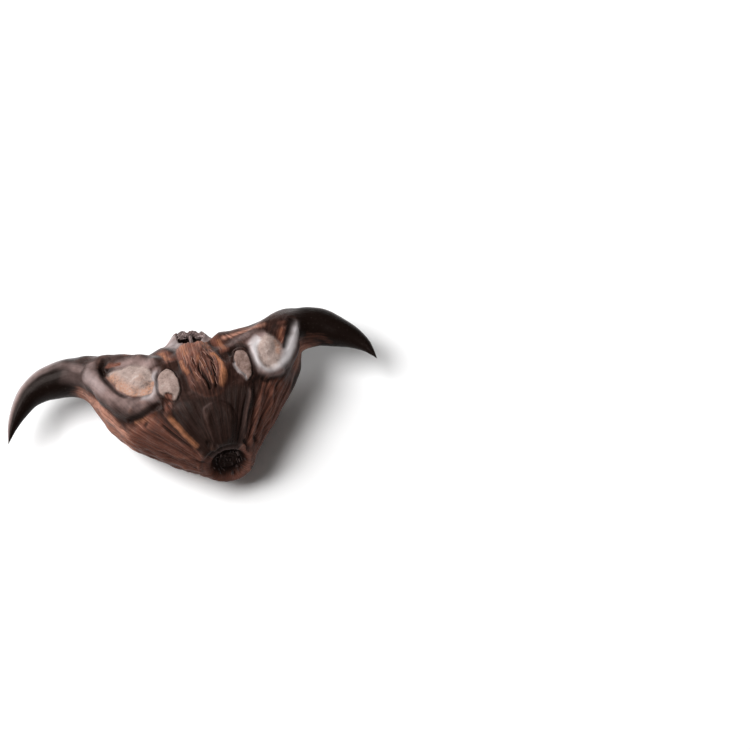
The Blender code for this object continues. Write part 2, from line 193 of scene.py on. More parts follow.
# Pale lips beside the pads and thin crests on the lower body: path, height, reach.
LIPS = (
    (((-7.9, -9.4), (-8.7, -11), (-9, -13), (-9.2, -14.8), (-9.8, -16), (-11, -16.5),
      (-12.5, -16), (-14, -15.4)), 0.3, 0.85),
    (((12.1, -8.3), (10.9, -10), (10.6, -11.6), (10.7, -13.8), (10.95, -15.6), (11.7, -16.4),
      (12.8, -16.2), (14.3, -15.2), (15.8, -14), (17, -12.2), (18.2, -10.2), (19.2, -8.4)),
     0.4, 1.2),
    (((6.5, -13), (6.85, -15), (7.35, -16.4), (8.1, -17.8)), 0.26, 0.42),
)
CRESTS = (
    (((0.8, -20.6), (-0.9, -21), (-1.6, -22.1), (-1.6, -23.6), (-1.3, -25.5), (-1.1, -27.2),
      (-0.7, -28.1), (-1.4, -28.5)), 0.18, 0.36),
    (((7.9, -18.6), (7.5, -20.3), (6.2, -22.8), (5.1, -25), (3.9, -27), (3.1, -28.3),
      (3.6, -28.6)), 0.36, 0.4),
    (((-17.3, -16.8), (-15.1, -19.9), (-11.8, -23.4), (-7.9, -26.4), (-4.3, -28.5)), 0.24, 0.5),
    (((-17.8, -17.4), (-14.6, -21.2), (-10.4, -25.1), (-6.7, -27.9)), 0.24, 0.5),
    (((9.6, -19.6), (8.4, -22.4), (6.6, -25.2), (4.6, -27.6)), 0.2, 0.45),
    (((12.2, -18.6), (10.6, -21.6), (8.4, -24.6), (5.6, -27.6)), 0.2, 0.5),
    (((14.1, -18.2), (10.6, -22.6), (6.5, -26.7), (4.7, -28.1)), 0.3, 0.6),
    (((0.7, -23.4), (0.5, -25.4), (-0.1, -27.6)), 0.1, 0.4),
    (((2.4, -22.6), (2.2, -25), (1.4, -27.8)), 0.1, 0.4),
)

# Small hooks and small pits: x, y, height or depth, and reach.
HOOKS = ((-1.1, -28.4, 0.34, 0.75), (-3.6, -28.7, 0.36, 0.8), (3.4, -28.5, 0.34, 0.75),
         (-14.2, -16.7, 0.22, 0.75), (5, -28.1, 0.22, 0.7), (-5.2, -28.9, 0.22, 0.7))
PITS = ((-2.2, -27.1, 0.5, 0.8), (4.2, -27.6, 0.6, 0.75), (-12.5, -19.8, 0.3, 0.55),
        (6.1, -26.6, 0.22, 0.6), (-17.2, -4, 0.45, 1), (18.2, -6.9, 0.4, 0.9))

# Fibres of the shield: middle line and half width at each height. Then the gashes between them
# and the shreds beside them: path, reach, and depth or height. Last a torn path by the left oval.
FIBRE_LINES = ((-20, 1.5, 2), (-17, 1.2, 3.3), (-12, 0.9, 4.4), (-8, 0, 3.7),
               (-4, -0.6, 3))
GASHES = (
    (((0.3, -11.2), (0.05, -13.2), (0.3, -14.9), (0.7, -16), (0.8, -17.2), (0.8, -18.2)),
     0.55, 0.7),
    (((2.2, -9.2), (2.5, -11.5), (2.6, -13.1), (2.5, -14.9), (2.2, -17.1), (2, -18.3)),
     0.4, 0.48),
    (((-1.9, -11), (-1.6, -13.6), (-0.9, -16.2)), 0.34, 0.3),
    (((-0.6, -8.6), (-0.7, -11), (-0.4, -13.2)), 0.28, 0.2),
)
SHREDS = (
    (((1.2, -13.2), (1.5, -16.1), (1.65, -17.9)), 0.34, 0.32),
    (((2.6, -8.8), (3.6, -11.2), (4.2, -13.1), (4.1, -15), (3.5, -16.7), (2.7, -18.4)), 0.95, 0.34),
    (((-3.3, -8.6), (-2.9, -11.7), (-2.4, -13.8)), 0.6, 0.26),
    (((0.9, -8), (1.2, -11), (1.4, -12.6)), 0.4, 0.16),
)
TORN = ((-6.9, -16.3), (-7.4, -17.6), (-7.9, -19.2), (-8.3, -21))

# Ribs that gather at the stem scar: the path on the face, height and reach.
RIBS = (
    (((-0.9, -21.2), (-1.4, -24.5), (-1.6, -28)), 0.5, 1.05),
    (((8.2, -18), (7.1, -21.8), (5.4, -25.2), (3.6, -28.2)), 0.55, 1.1),
    (((-9, -18.4), (-8.1, -21.1), (-5.8, -24.8), (-3.8, -28)), 0.75, 1.6),
    (((-14.6, -19), (-12, -20.8), (-8.2, -24.4), (-4.4, -28.3)), 0.42, 1.25),
    (((-17.8, -16.8), (-14, -20.6), (-9.2, -25.3), (-4.8, -28.9)), 0.42, 1.25),
    (((-20, -13), (-16.4, -18.9), (-11.2, -24.4), (-5.6, -29.2)), 0.42, 1.25),
    (((-22.9, -6.6), (-20.8, -10.8), (-18.2, -16.4), (-13.5, -22.6), (-7.6, -27.4)), 0.42, 1.35),
    (((10.4, -17.6), (9.1, -21.2), (7.6, -24), (5.1, -27.2)), 0.42, 1.15),
    (((13, -17), (11.2, -20.6), (8.6, -24), (5.7, -27.5)), 0.42, 1.15),
    (((19, -9), (17, -13), (14.2, -17.4), (11, -21.6), (6.6, -27)), 0.45, 1.3),
)

# Keels on the lower edge: where along the nut each begins and ends. Then the knobs where ribs
# end, and the slow swells of the whole skin.
KEELS = ((-22.5, -6.5), (19.5, 6.5))
KEEL_HEIGHT = 0.4
KEEL_REACH = 1.5
RIB_KNOB = 0.6
RIB_KNOB_REACH = 1.1
SWAY = 0.14
SWAY_TURNS = (0.62, 0.81)

# The crown: where it stands, the way it faces, and distances from its axis and heights along it.
CROWN_AT = (-0.5, -3.2, 1.2)
CROWN_AXIS = (0.20, 0.765, 0.612)
CROWN_HOLLOW = 2.1
CROWN_RIM = 2.9
CROWN_FOOT = 5.9
CROWN_HEIGHT = 2.1
CROWN_FLOOR = -1.2
CROWN_TEETH = 9
CROWN_TOOTH = 0.35
CROWN_SLOPE = 1.7
CROWN_FRONT_DROP = 1.35
CROWN_SHOULDER = 0.85

# Rises of the top beside the crown: x, reach and height.
SADDLES = ((6.2, 7.4, 1.75), (-5.8, 3.4, 0.5))

# The stem scar, in the same way as the crown.
SCAR_AT = (0.4, -29.3, 0.6)
SCAR_AXIS = (0.0, -0.951, 0.309)
SCAR_PIT = 2.9
SCAR_RIM = 3.9
SCAR_EDGE = 4.7
SCAR_FOOT = 6.2
SCAR_DEPTH = 2.0
SCAR_LIP = 0.35
SCAR_PLUG = 0.9

# The back: how much of the relief it carries, its bulge, and the depth of the flat spot.
BACK_SHARE = 0.6
BACK_BULGE = 0.8
BACK_BULGE_AT = (-2.2, -13.2)
BACK_BULGE_REACH = (6.5, 6.5)
BACK_CALM = (4.8, 8.5)
REST_DEPTH = 9.45

# Colours drawn on the husk, by mark: path, reach and strength. Some of them are painted sheen,
# highlights and shadows.
RUST_STROKES = (
    (((-24.6, -5.6), (-23.2, -7), (-21.6, -9.4), (-20.6, -11.6), (-19.8, -13.6), (-18.6, -15.8),
      (-17, -17.8)), 1.7, 1),
    (((-17.4, -4.6), (-16.2, -5.1), (-15.2, -5.5), (-14, -5.6)), 0.8, 1),
    (((-17.6, -6.4), (-17.2, -8.4), (-16.5, -10.1), (-15.8, -11.7), (-14.6, -13.3), (-13.2, -14.4),
      (-11.6, -15)), 0.5, 0.55),
    (((-14.6, -3.6), (-11.2, -4.4), (-8.6, -5.6), (-6.6, -5.4)), 1.3, 0.45),
    (((14.8, -5.7), (12.1, -5.3), (9.5, -5), (8, -4.8), (6.1, -4.6), (4.2, -4.6)), 1.5, 0.72),
    (((17.6, -5.6), (16.9, -7.8), (16.3, -9.8), (15.8, -11.4)), 1.3, 0.85),
    (((20.6, -8.6), (23.2, -9.4), (26.4, -10.6)), 1.3, 0.28),
    (((21, -8.6), (19.6, -10.9), (18.4, -12.9), (17, -15.2), (15.2, -18), (12.6, -21.6)),
     1.1, 0.75),
    (((9.6, -20), (8.2, -22.8), (6.2, -25.6)), 1.2, 0.6),
    (((-6.8, -4.2), (-5.6, -6.4), (-4.6, -9.4)), 2, 0.75),
    (((3.2, -4.8), (4.8, -7.4), (5.8, -10.2)), 1.7, 0.75),
    (((8.5, -11.3), (8.2, -12.1), (8.1, -12.9)), 0.8, 1),
    (TORN, 1.2, 1),
)
ORANGE_STROKES = (
    (((2.6, -9.2), (3.5, -11.2), (4.1, -13.1), (4.05, -15), (3.5, -16.7), (2.7, -18.4)), 1, 1),
    (((-3.4, -8.8), (-2.9, -11.7), (-2.4, -13.8)), 0.8, 0.65),
    (((-8.2, -19.6), (-7.3, -21.8), (-6.4, -23.4), (-5.5, -24.8), (-4.7, -26.2), (-3.8, -27.4)),
     0.95, 0.96),
    (((1.3, -14.2), (1.5, -16.1), (1.6, -17.4)), 0.35, 0.8),
    (((4.3, -5.8), (5.1, -7.6), (5.8, -9.6)), 1.1, 0.5),
    (((-6.6, -4.8), (-6, -6.8), (-5, -8.6)), 1.2, 0.52),
    (((-2.9, -4.6), (-2.2, -7), (-1.8, -9.3)), 1.5, 0.46),
    (((1.2, -4.6), (1.9, -6.8), (2.6, -9)), 1.5, 0.5),
    (((0, -9.6), (0.5, -11.8), (0.9, -13.8)), 1.1, 0.48),
    (((-15.2, -18.2), (-13.4, -18.9), (-11.4, -19.4)), 1.5, 0.42),
    (((-11.6, -19.4), (-9.8, -18.6)), 1.1, 0.3),
    (((-1.4, -13), (-1, -16.4)), 0.5, 0.45),
    (((-24.2, -6), (-22.9, -7.6), (-21.3, -10.2), (-20.3, -12.8), (-19.2, -15.2)), 1.5, 0.4),
    (((17, -7.2), (16.5, -9), (16.1, -10.4)), 0.9, 0.4),
)
PALE_RUST_STROKES = (
    (((-24.6, -5.2), (-22.7, -7.2), (-21, -10.1), (-19.6, -13.1), (-18.9, -14.8), (-18.1, -16.3),
      (-17.3, -17.7), (-16.4, -19.3), (-15, -21)), 1.7, 0.66),
    (((-17, -17.8), (-13.6, -19.6), (-10.4, -19.9)), 1.7, 0.26),
    (((15.8, -5.8), (12.5, -6.1), (10.1, -6), (8.9, -6.2), (7.4, -6.4), (5.8, -6.3), (4.4, -6)),
     1.1, 0.46),
)
WARM_STROKES = (
    (((-17.4, -7.6), (-16.6, -9.6), (-15.3, -11.8), (-13.6, -13.7), (-12, -14.8)), 2.2, 1.2),
    (((-12.4, -14.2), (-10.8, -14.7), (-9.8, -13.6), (-9.6, -12)), 1.8, 1.1),
    (((-12, -10.4), (-10.8, -12)), 1.6, 0.35),
    (((15, -10), (15.3, -11.4), (14.4, -13.6)), 0.8, 0.8),
)
# Waxy bloom together with painted sheen on the horn roots, the folds and the lips round the pads.
BLOOM_AND_SHEEN_STROKES = (
    (((-27.4, 0.2), (-24.6, -1.2), (-22.6, -3), (-21.2, -4.8)), 1.7, 0.46),
    (((-26, -2.4), (-23.2, -4.8), (-21, -7.4)), 2.5, 0.24),
    (((-19.8, -2.8), (-19.8, -4.4), (-20.1, -6.2)), 1.6, 0.66),
    (((-21.9, -4.2), (-20.2, -6.4), (-19.2, -8.6), (-18, -10.7), (-16.8, -12.6), (-15.2, -14.3)),
     2.6, 0.9),
    (((-17.6, -11.7), (-15.4, -14.3), (-13.8, -15.8), (-12, -16.7), (-10.2, -16.8)), 2.4, 0.66),
    (((-7.7, -9), (-8.5, -11), (-8.8, -13), (-9, -14.8), (-9.6, -16.1), (-11.4, -16.7)),
     1.35, 1.2),
    (((12.6, -8), (11, -10), (10.7, -11.8), (10.75, -13.8), (11, -15.5), (11.8, -16.4),
      (12.9, -15.7), (14.1, -14.6), (15.3, -13.2), (16.3, -11.9), (17.5, -10.3), (18.6, -8.6),
      (19.3, -7.2), (19.8, -5.2)), 1.5, 0.96),
    (((-16.4, -5.6), (-13.4, -5.9), (-11, -6.6), (-9.4, -7.8), (-8.8, -9.6)), 2.1, 0.9),
    (((-7.4, -6.6), (-9.8, -4.8), (-13, -3.6)), 1.4, 0.22),
    (((10.4, -10.4), (11.4, -9.2), (12.8, -8.6), (14.2, -8.5)), 2, 1),
    (((5.6, -8.4), (8.4, -7.6), (11, -7.4), (13.2, -7.4)), 1.6, 0.34),
    (((20.3, -8.6), (18.9, -10.8), (17.8, -12.9), (16.7, -14.8), (15.3, -16.8)), 1.7, 0.78),
    (((11.4, -16.9), (13, -16.6), (14.7, -15.2)), 1.4, 0.7),
    (((0.9, -20.5), (-0.9, -21), (-1.6, -22.2), (-1.5, -23.8)), 0.5, 0.5),
    (((7.8, -18.9), (7.4, -20.4), (6.2, -22.8), (5.1, -25), (3.9, -27)), 0.34, 0.45),
    (((14.1, -18.2), (10.6, -22.6), (6.5, -26.7)), 0.6, 0.45),
    (((6.4, -13), (6.8, -15), (7.3, -16.4), (8.1, -17.9)), 0.4, 1),
)
HOOK_TIPS = (
    (((-0.6, -27.7), (-1, -28.2), (-1.5, -28.5)), 0.55, 1),
    (((2.8, -28.2), (3.1, -28.6), (3.7, -28.7)), 0.55, 0.9),
    (((-3.1, -28.4), (-3.6, -28.7), (-4.2, -28.8)), 0.6, 1),
)
# Painted highlights on the lips round the pads, the left fold and the right oval's rim.
PAINTED_SHINE_STROKES = (
    (((-8.2, -9.8), (-8.7, -11.4), (-8.9, -13.4), (-9.1, -15), (-9.7, -16.1)), 0.75, 0.45),
    (((-8.7, -12.4), (-9, -14.2), (-9.5, -15.4), (-10.6, -15.9), (-12.2, -15.6)), 1, 0.34),
    (((12.6, -8), (11.3, -10), (10.9, -11.8), (10.9, -13.6), (11.2, -15), (12, -15.7),
      (13, -15.5), (14.3, -14.6), (15.5, -13.4), (16.4, -12.1), (17.5, -10.2), (18.7, -8.5),
      (19.4, -7.2), (20, -5.4)), 1.2, 0.95),
    (((12.6, -9), (11.6, -10.6), (11.3, -12.6), (11.4, -14.4)), 1.7, 1),
    (((-21.4, -4.9), (-20, -7.2), (-18.9, -9.4), (-17.6, -11.4)), 1.5, 0.12),
    (((10.9, -12.6), (11.1, -14.5), (11.9, -15.5), (13, -15.1), (14.3, -14)), 1, 1.7),
    (((6.5, -13), (6.85, -15), (7.35, -16.4), (8.1, -17.8)), 0.36, 0.55),
    (((10.6, -10.6), (11.4, -9.4), (12.6, -8.7)), 1.5, 0.6),
)
# Painted shadows beside and under the folds, under the right brow, round the right oval and in the
# slits by the scar, and darker husk on and round the shield.
SHADOW_AND_DARK_STROKES = (
    (((-18.4, -4.6), (-18.4, -5.6), (-18.3, -7), (-17.9, -8.7), (-17.2, -10.2)), 0.7, 0.7),
    (((-17.9, -3.6), (-16.7, -3.8), (-15.7, -3.9)), 0.8, 1),
    (((-15.6, -17.3), (-13.8, -18), (-11.6, -18), (-8.9, -17.4)), 1, 0.8),
    (((8.2, -18.5), (10.6, -17.3), (11.4, -17.9), (12.8, -17.4)), 0.9, 0.8),
    (((15.4, -6.5), (16.6, -7.1), (17.9, -6.7)), 1.2, 0.85),
    (((6.2, -11.6), (6.3, -10.2), (6.9, -9.4), (8, -9), (9.1, -9.6), (9.8, -11)), 0.9, 0.7),
    (((0.2, -6.6), (0.9, -8.8), (0.9, -11.2), (0.5, -13.2)), 1.5, 0.3),
    (((-2.8, -25.4), (-2.4, -26.8), (-1.9, -27.9)), 0.8, 1),
    (((5, -25.8), (4.2, -27.6)), 0.6, 0.8),
    (((-10, -20.9), (-8.1, -23.5), (-6.3, -25.4), (-4.6, -27)), 0.55, 0.8),
    (((-3.2, -16.6), (-1.6, -18.6), (0.6, -19.4), (2.8, -19), (4.6, -16.8)), 1.6, 0.6),
    (((-4.2, -10.4), (-3.9, -13.6), (-4, -17), (-4.6, -20.6)), 1.1, 0.6),
)
# How strong the painted sheen on the horns is.
HORN_SHEEN = 0.85

# Worn places under the roots of the horns: x, y, reach and strength.
WORN_SIDES = (
    (-20.6, -10.4, 8.0, 0.95),
    (-17.8, -15.4, 6.0, 0.95),
    (18.6, -10.8, 6.5, 0.80),
)

# Where the left fold runs out into the horn and its valley gets no painted shade.
FOLD_ROOT = ((-26.4, 0.8), (-24.2, -1.6), (-22.4, -4.4), (-21.6, -7.0))
FOLD_ROOT_REACH = 3.0

# Below, a pair is a passage: where it is 0 and where it is 1. A band is the distance of its middle
# from an axis, and its reach. A noise is its size, its seed and its layers.
TINY = 1e-9
NOISE_TABLE = 4096
NOISE_SHIFT = 13
NOISE_PRIMES = (73856093, 19349663, 83492791)
PLACE_STEP = 0.05
TURN_STEP = 0.01

# The sides of the skin, and the lines that its grain follows.
FACE_SIDE = (-3.0, 0.0)
SHOWN_SIDE = (0.2, 0.6)
EDGE_CALM = (0.6, 2.6)
TOP_SIDE = (-6.0, -3.2)
LEAST_DEPTH = 0.07
WANDER = 0.30
WANDER_SIZE = 1.5
WANDER_SEEDS = (3, 5)
BODY_ROUND = 12.0
HORN_ROUND = 3.2
GRAIN_HORN_SHIFT = 40.0
GRAIN_TOP_SHIFT = 80.0
GRAIN_TOP_SIDE = (-6.0, -3.6)
GRAIN_TOP_STRETCH = 1.2
GRAIN_TOP_EDGE = (0.3, 0.7)
GRAIN_HORN_EDGE = (0.35, 0.65)
STROKE_ENDS = (0.15, 0.15)
OUTLINE_FAR = 3.0

# Folds, brows, ribs and keels.
FOLD_START = (0, 0.42)
FOLD_END = (0.86, 1.0)
FOLD_END_DROP = 0.7
BROW_RIGHT_SHARE = 0.7
RIB_START = (0, 0.25)
RIBS_EDGE = (-0.8, 0.9)
KEEL_START = (0, 0.2)
KEEL_POINTS = 14
SADDLE_TOP = (0.68, 0.94)
HORN_OVERLAP = 2.5
RELIEF_FADE = (0, 4.0)

# Pads and ovals.
PAD_GRAIN = (0.8, 61, 3)
PAD_GRAIN_HEIGHT = 0.09
PAD_GRAIN_EDGE = (0.1, 0.7)
PAD_LOWER = (-8.0, -11.6)
PAD_EDGE = 0.5
PAD_SOFTNESS = 0.6
PAD_DOME = (0.1, 2.4)
PAD_ROUND = (-2.4, -0.8)
PATCH_GROOVE_OUT = 0.14
# Painted shade in a patch's groove, for each unit of its depth.
PATCH_GROOVE_SHADE = 4.0
PATCH_PALE_OUT = -0.5
TAN_EDGE = (-0.3, 0.8)
TAN_RAGGED = 0.3

# The shield, its fibres and the boss.
FIBRE_ACROSS = 4.0
FIBRE_ALONG = 0.16
FIBRE_COARSE = ((0.75, 1.0, 1.0), 71, 2)
FIBRE_FINE = ((0.26, 0.9, 1.0), 75, 2)
FIBRE_COARSE_SHARE = 0.62
FIBRE_FINE_SHARE = 0.38
SHIELD_COVER = (0.0, 1.0)
SHIELD_RISE = (-0.5, 1.9)
SHIELD_EDGE = (-0.4, 0.6)
SHIELD_FOOT = (-15.5, -19.2)
SHIELD_FOOT_DROP = 0.6
# Painted shade in the gashes of the shield.
GASH_SHADE = 1.7
BOSS_RISE = (-0.35, 1.1)
BOSS_RIM = 0.16
BOSS_RIM_BAND = (0.1, 0.45)
BOSS_RIM_FADE = (-25.5, -21.5)

# Grooves, crests and the torn place beside the left oval.
GROOVE_ENDS = (0.08, 0.2)
# Painted shade in a groove, for each unit of its depth.
GROOVE_SHADE = 1.6
CREST_PALE = 2.4
TORN_REACH = 1.25
TORN_ENDS = (0.05, 0.2)
TORN_BARE = 1.6
TORN_DEPTH = 0.18
TORN_RAGGED = 0.30
TORN_NOISE = ((0.5, 1.1, 0.6), 81, 2)

# The slow unevenness and the fine relief of the whole skin.
SWAY_LEANS = (0.3, -0.25)
SWAY_STARTS = (0.5, 1.1)
SWAY_SMALL = 0.5
SWAY_SMALL_TURNS = (1.3, -0.9, 0.8)
FINE_RIBS = 62
FINE_RIB_SHARE = 0.75
FINE_RIB_BEND = 0.5
FINE_RIB_BEND_NOISE = (9.0, 91)
FINE_RIB_STREAK = 0.5
FINE_RIB_STREAKS = (0.6, 26.0, 93, 1)
PANEL_MIDDLE = 0.05
PANEL_REACH = 0.62
PANEL_CALM = 0.8
LINE_HEIGHT = 0.035
LINE_STREAKS = (0.28, 2.5, 97)
LINE_BARE_SHARE = 0.4
LINE_RIBBED_SHARE = 0.6
WRINKLE_HEIGHT = 0.05
WRINKLES = ((1.6, 0.9, 1.2), 99, 3)
BROW_LINE_HEIGHT = 0.10
BROW_LINE_SHOWN = 0.7
BROW_STRETCH = (0.12, 0.8, 1.0)
BROW_NOISE = (1.1, 131, 3)
BACK_FINE = 0.25
HORN_LINE_HEIGHT = 0.016
HORN_LINES = ((0.5, 0.5, 6.0), 121, 2)
HORN_DENT_HEIGHT = 0.04
HORN_DENTS = ((3.5, 2.5, 2.5), 125)
HORN_TIP_CALM = (0.2, 1.6)

# The crown's teeth, wall, shoulders and pale collar.
CROWN_TOOTH_SWING = 1.3
CROWN_WALL = 0.5
CROWN_FLARE = 0.12
CROWN_MELT = 0.3
CROWN_WITHIN = (-6, -3)
CROWN_RING_DROP = 0.1
CROWN_FACE = (0.0, 0.8)
CROWN_FACE_WALL = 0.4
CROWN_RAGGED = (0.22, 101, 3)
CROWN_RAGGED_HEIGHT = 0.40
CROWN_RIM_BAND = (CROWN_RIM, 1.0)
CROWN_TOOTH_WEAR = 0.5
CROWN_FOLDS = (0.16, 105, 2)
CROWN_FOLD_HEIGHT = 0.2
CROWN_FOLD_BAND = (3.9, 1.6)
CROWN_SIDE = (0.2, 1.0)
CROWN_SIDE_TURN = 0.3
CROWN_SIDE_BAND = (4.4, 1.9)
# Painted shade in the crown's hollow: how far out and how deep it reaches.
HOLLOW_SHADE_EDGE = (2.2, 2.8)
HOLLOW_SHADE_DEPTH = (0.2, 1.3)
COLLAR_BAND = (3.4, 1.9)
COLLAR_SPOKES = (0.11, 109, 2)
COLLAR_SPOKE_EDGE = (-0.3, 0.3)
COLLAR_SPOKE_LEAST = 0.72
COLLAR_SPOKE_MORE = 0.28
COLLAR_FACE = (-1.6, 0.8)
COLLAR_BACK_LEAST = 0.4
COLLAR_BACK_MORE = 0.6
COLLAR_TURN = 0.2
COLLAR_LEFT_BAND = (3.7, 2.6)
COLLAR_LEFT_SIDE = (-0.1, 0.9)
COLLAR_RIGHT_BAND = (3.6, 2.3)
COLLAR_RIGHT_SIDE = (0.1, 0.9)

# The stem scar's lip, ring and plug.
SCAR_LIP_REACH = 0.9
SCAR_WALL = 0.7
SCAR_WITHIN = (-7, -4)
SCAR_RING_DROP = 0.08
SCAR_RAGGED = (0.14, 111, 2)
SCAR_RAGGED_HEIGHT = 0.16
SCAR_RAGGED_BAND = (4.3, 1.3)
SCAR_PLUG_WAVE = 0.12
SCAR_PLUG_TURNS = 7.0
SCAR_PLUG_ROUGH = 0.25
SCAR_PLUG_NOISE = (0.7, 113)
SCAR_PLUG_EDGE = (SCAR_PIT - 1.1, SCAR_PIT + 0.3)
# Painted shade deep in the scar's pit.
SCAR_PIT_SHADE_EDGE = (2.6, 3.7)
SCAR_RING_BAND = (4.25, 0.8)

# Where the husk's colours lie, and how strong each is.
LEFT_FLANK = (-0.50, -0.66)
LEFT_FLANK_RUST = 0.88
RIGHT_FLANK = (0.66, 0.78)
RIGHT_FLANK_RUST = 0.72
COLLAR_RUST = 0.55
TOP_RUST = 0.75
TOP_RUST_EDGE = (0.10, 0.55)
TOP_RUST_SHOWN = 0.5
WORN_DEPTH = 1.5
WORN_STRENGTH = 1.5
WORN_PALE = 0.30
PALE_RUST_STRENGTH = 1.6
# Painted sheen and highlights on the horns' outer sides.
HORN_HIDDEN = 0.26
HORN_SEEN = 0.74
HORN_SEEN_SIDE = (0.06, 0.62)
LONG_HORN_ROOT = (-19.5, -27.0)
LONG_HORN_TIP = (-32.0, -25.0)
LONG_HORN_TIP_DROP = 0.4
LONG_HORN_OUTER = (0.04, 0.58)
SHORT_HORN_ROOT = (20.0, 25.0)
SHORT_HORN_SHARE = 0.5
SHORT_HORN_OUTER = (0.62, 0.96)
HORN_SHEEN_LEAST = 0.86
HORN_SHEEN_SPOTS = 0.5
HORN_SHEEN_STRETCH = 0.15
HORN_SHEEN_NOISE = (0.9, 137, 3)
HORN_SHINE = 0.55
HORN_SHINE_OUTER = (0.45, 0.95)
CREST_BLOOM = 0.30
TOP_BLOOM = 0.16
TOP_BLOOM_STREAK = 0.40
TOP_BLOOM_SHOWN = 0.6
TOP_BLOOM_MOST = 0.6
COLLAR_BLOOM = 0.3
# Painted sheen and highlights on the collar's left and right shoulders.
COLLAR_LEFT_SHEEN = 1.3
COLLAR_RIGHT_SHEEN = 0.8
SCAR_RING_BLOOM = 0.66
COLLAR_LEFT_SHINE = 0.5
COLLAR_RIGHT_SHINE = 0.35
TINT = 0.58
TINT_LOW_DROP = 0.30
TINT_LOW = (-18.0, -22.5)
TINT_SHIELD = 0.12
TINT_SHIELD_MORE = 0.72
TINT_SHIELD_SIDE = (-17.5, -4.5)
TINT_RIGHT = 0.62
TINT_SHARE = 0.81
PANEL_DARK = 0.92
SHIELD_DARK = 0.85
SHIELD_DARK_SIDE = (-14.5, -18.5)
ORANGE_UNDER_SHINE = 0.7
DARK_UNDER_ORANGE = 0.8
DARK_UNDER_SHINE = 0.75
RUST_UNDER_TAN = 0.85
RUST_UNDER_SHINE = 0.85
GROOVE_SHADE_UNDER_TAN = 0.8
RIBBED_FIBRE = 0.6

# Painted shade in the valleys, and worn crests, both found by evening out the relief, and what clears
# the painted shade from a valley: a share, or a strength and the most that it takes away. Then the grit
# of the whole skin.
NARROW_ROUNDS = 9
WIDE_ROUNDS = 40
NARROW_VALLEY = (0.03, 0.26)
WIDE_VALLEY = (0.05, 0.5)
WIDE_VALLEY_SHARE = 0.6
PAD_CLEARS = 0.75
PALE_RUST_CLEARS = (2.0, 0.85)
FOLD_ROOT_CLEARS = (1.4, 0.8)
CREST_WEAR = (0.05, 0.22)
WEAR_UNDER_SHINE = 0.9
GRIT_SIZE = 0.55
GRIT_DEPTH = 2
GRIT_HEIGHT = 0.05
SETTLE_HEIGHT = 0.09

# Colour ramps: the place on the ramp, the colour and how much of it.
BARE_TONES = ((0.38, "husk_dark", 1.0), (0.52, "husk_brown", 1.0), (0.66, "husk_mauve", 1.0))
HORN_TONES = ((0.36, "pit", 1.0), (0.66, "husk_brown", 0.19))
BLOOM_AND_SHEEN_TONES = ((0.3, "bloom", 0.66), (0.7, "bloom", 1.0))
RUST_TONES = ((0.28, "rust", 0.26), (0.43, "rust", 0.60), (0.56, "rust", 1.0),
              (0.72, "rust_pale", 1.0), (0.84, "rust_pale", 1.6))
DULL_TONES = ((0.36, "husk_mauve", 0.45), (0.52, "husk_mauve", 1.0), (0.66, "rust_pale", 0.66))
ORANGE_TONES = ((0.32, "rust", 0.45), (0.46, "orange", 0.62), (0.59, "orange", 1.0))
TAN_TONES = ((0.36, "tan", 0.50), (0.45, "tan", 0.86), (0.54, "tan", 1.0), (0.66, "scuff", 1.0))
WARM_TONES = ((0.38, "tan_warm", 0.30), (0.50, "tan_warm", 1.0), (0.62, "tan", 1.0),
              (0.72, "scuff", 1.0))
BROWN_TONES = ((0.36, "tan_warm", 0.22), (0.50, "tan_brown", 0.9), (0.66, "tan", 0.8))
DARK_TONES = ((0.35, "pit", 1.0), (0.7, "husk_brown", 0.8))
FIBRE_PLACES = (0.12, 0.40, 0.78)

# Noises of the materials: scale, detail and roughness. Grain noises also have a stretch.
CLOUD = (260.0, 3.0)
BLOTCH = (900.0, 4.0, 0.65)
SPECK = (2600.0, 4.0, 0.7)
LINE = (1.0, 4.0, 0.65)
LINE_STRETCH = (3.8, 3.8, 0.12)
THREAD = (1.0, 3.0, 0.6)
THREAD_STRETCH = (7.0, 7.0, 0.36)
FIBRE_SPECK = (3200.0, 3.0)
FLOOR_CLOUD = (6.0, 2.0)

# How the husk's colours are mixed: shares of the textures, the passages that they mottle a mark by
# (from, to, and what it is at each), and how far and between which values they fray a mark's edge.
HUSK_MIX = (("cloud", 0.35), ("line", 0.35), ("blotch", 0.3))
RUST_MIX = (("line", 0.6), ("thread", 0.2), ("blotch", 0.2))
TORN_MIX = (("thread", 0.35), ("line", 0.3), ("blotch", 0.35))
PAD_MIX = (("speck", 0.34), ("blotch", 0.50), ("cloud", 0.16))
BLOOM_AND_SHEEN_MOTTLE = (0.35, 0.62, 0.52, 1.0)
SHINE_MOTTLE = (0.3, 0.6, 0.8, 1.0)
TINT_SPAN = (0.0, 1.0, -0.17, 0.25)
DULL_MOTTLE = (0.46, 0.66, 0.0, 0.66)
WARM_MOTTLE = (0.38, 0.58, 0.45, 1.0)
WEAR_SPECKS = (0.3, 0.7, 0.05, 0.30)
RUST_FRAY = 0.45
RUST_EDGE = (0.32, 1.05)
ORANGE_FRAY = 0.6
ORANGE_EDGE = (0.52, 1.22)
TAN_FRAY = 0.4
TAN_CLEAR = (0.24, 1.12)
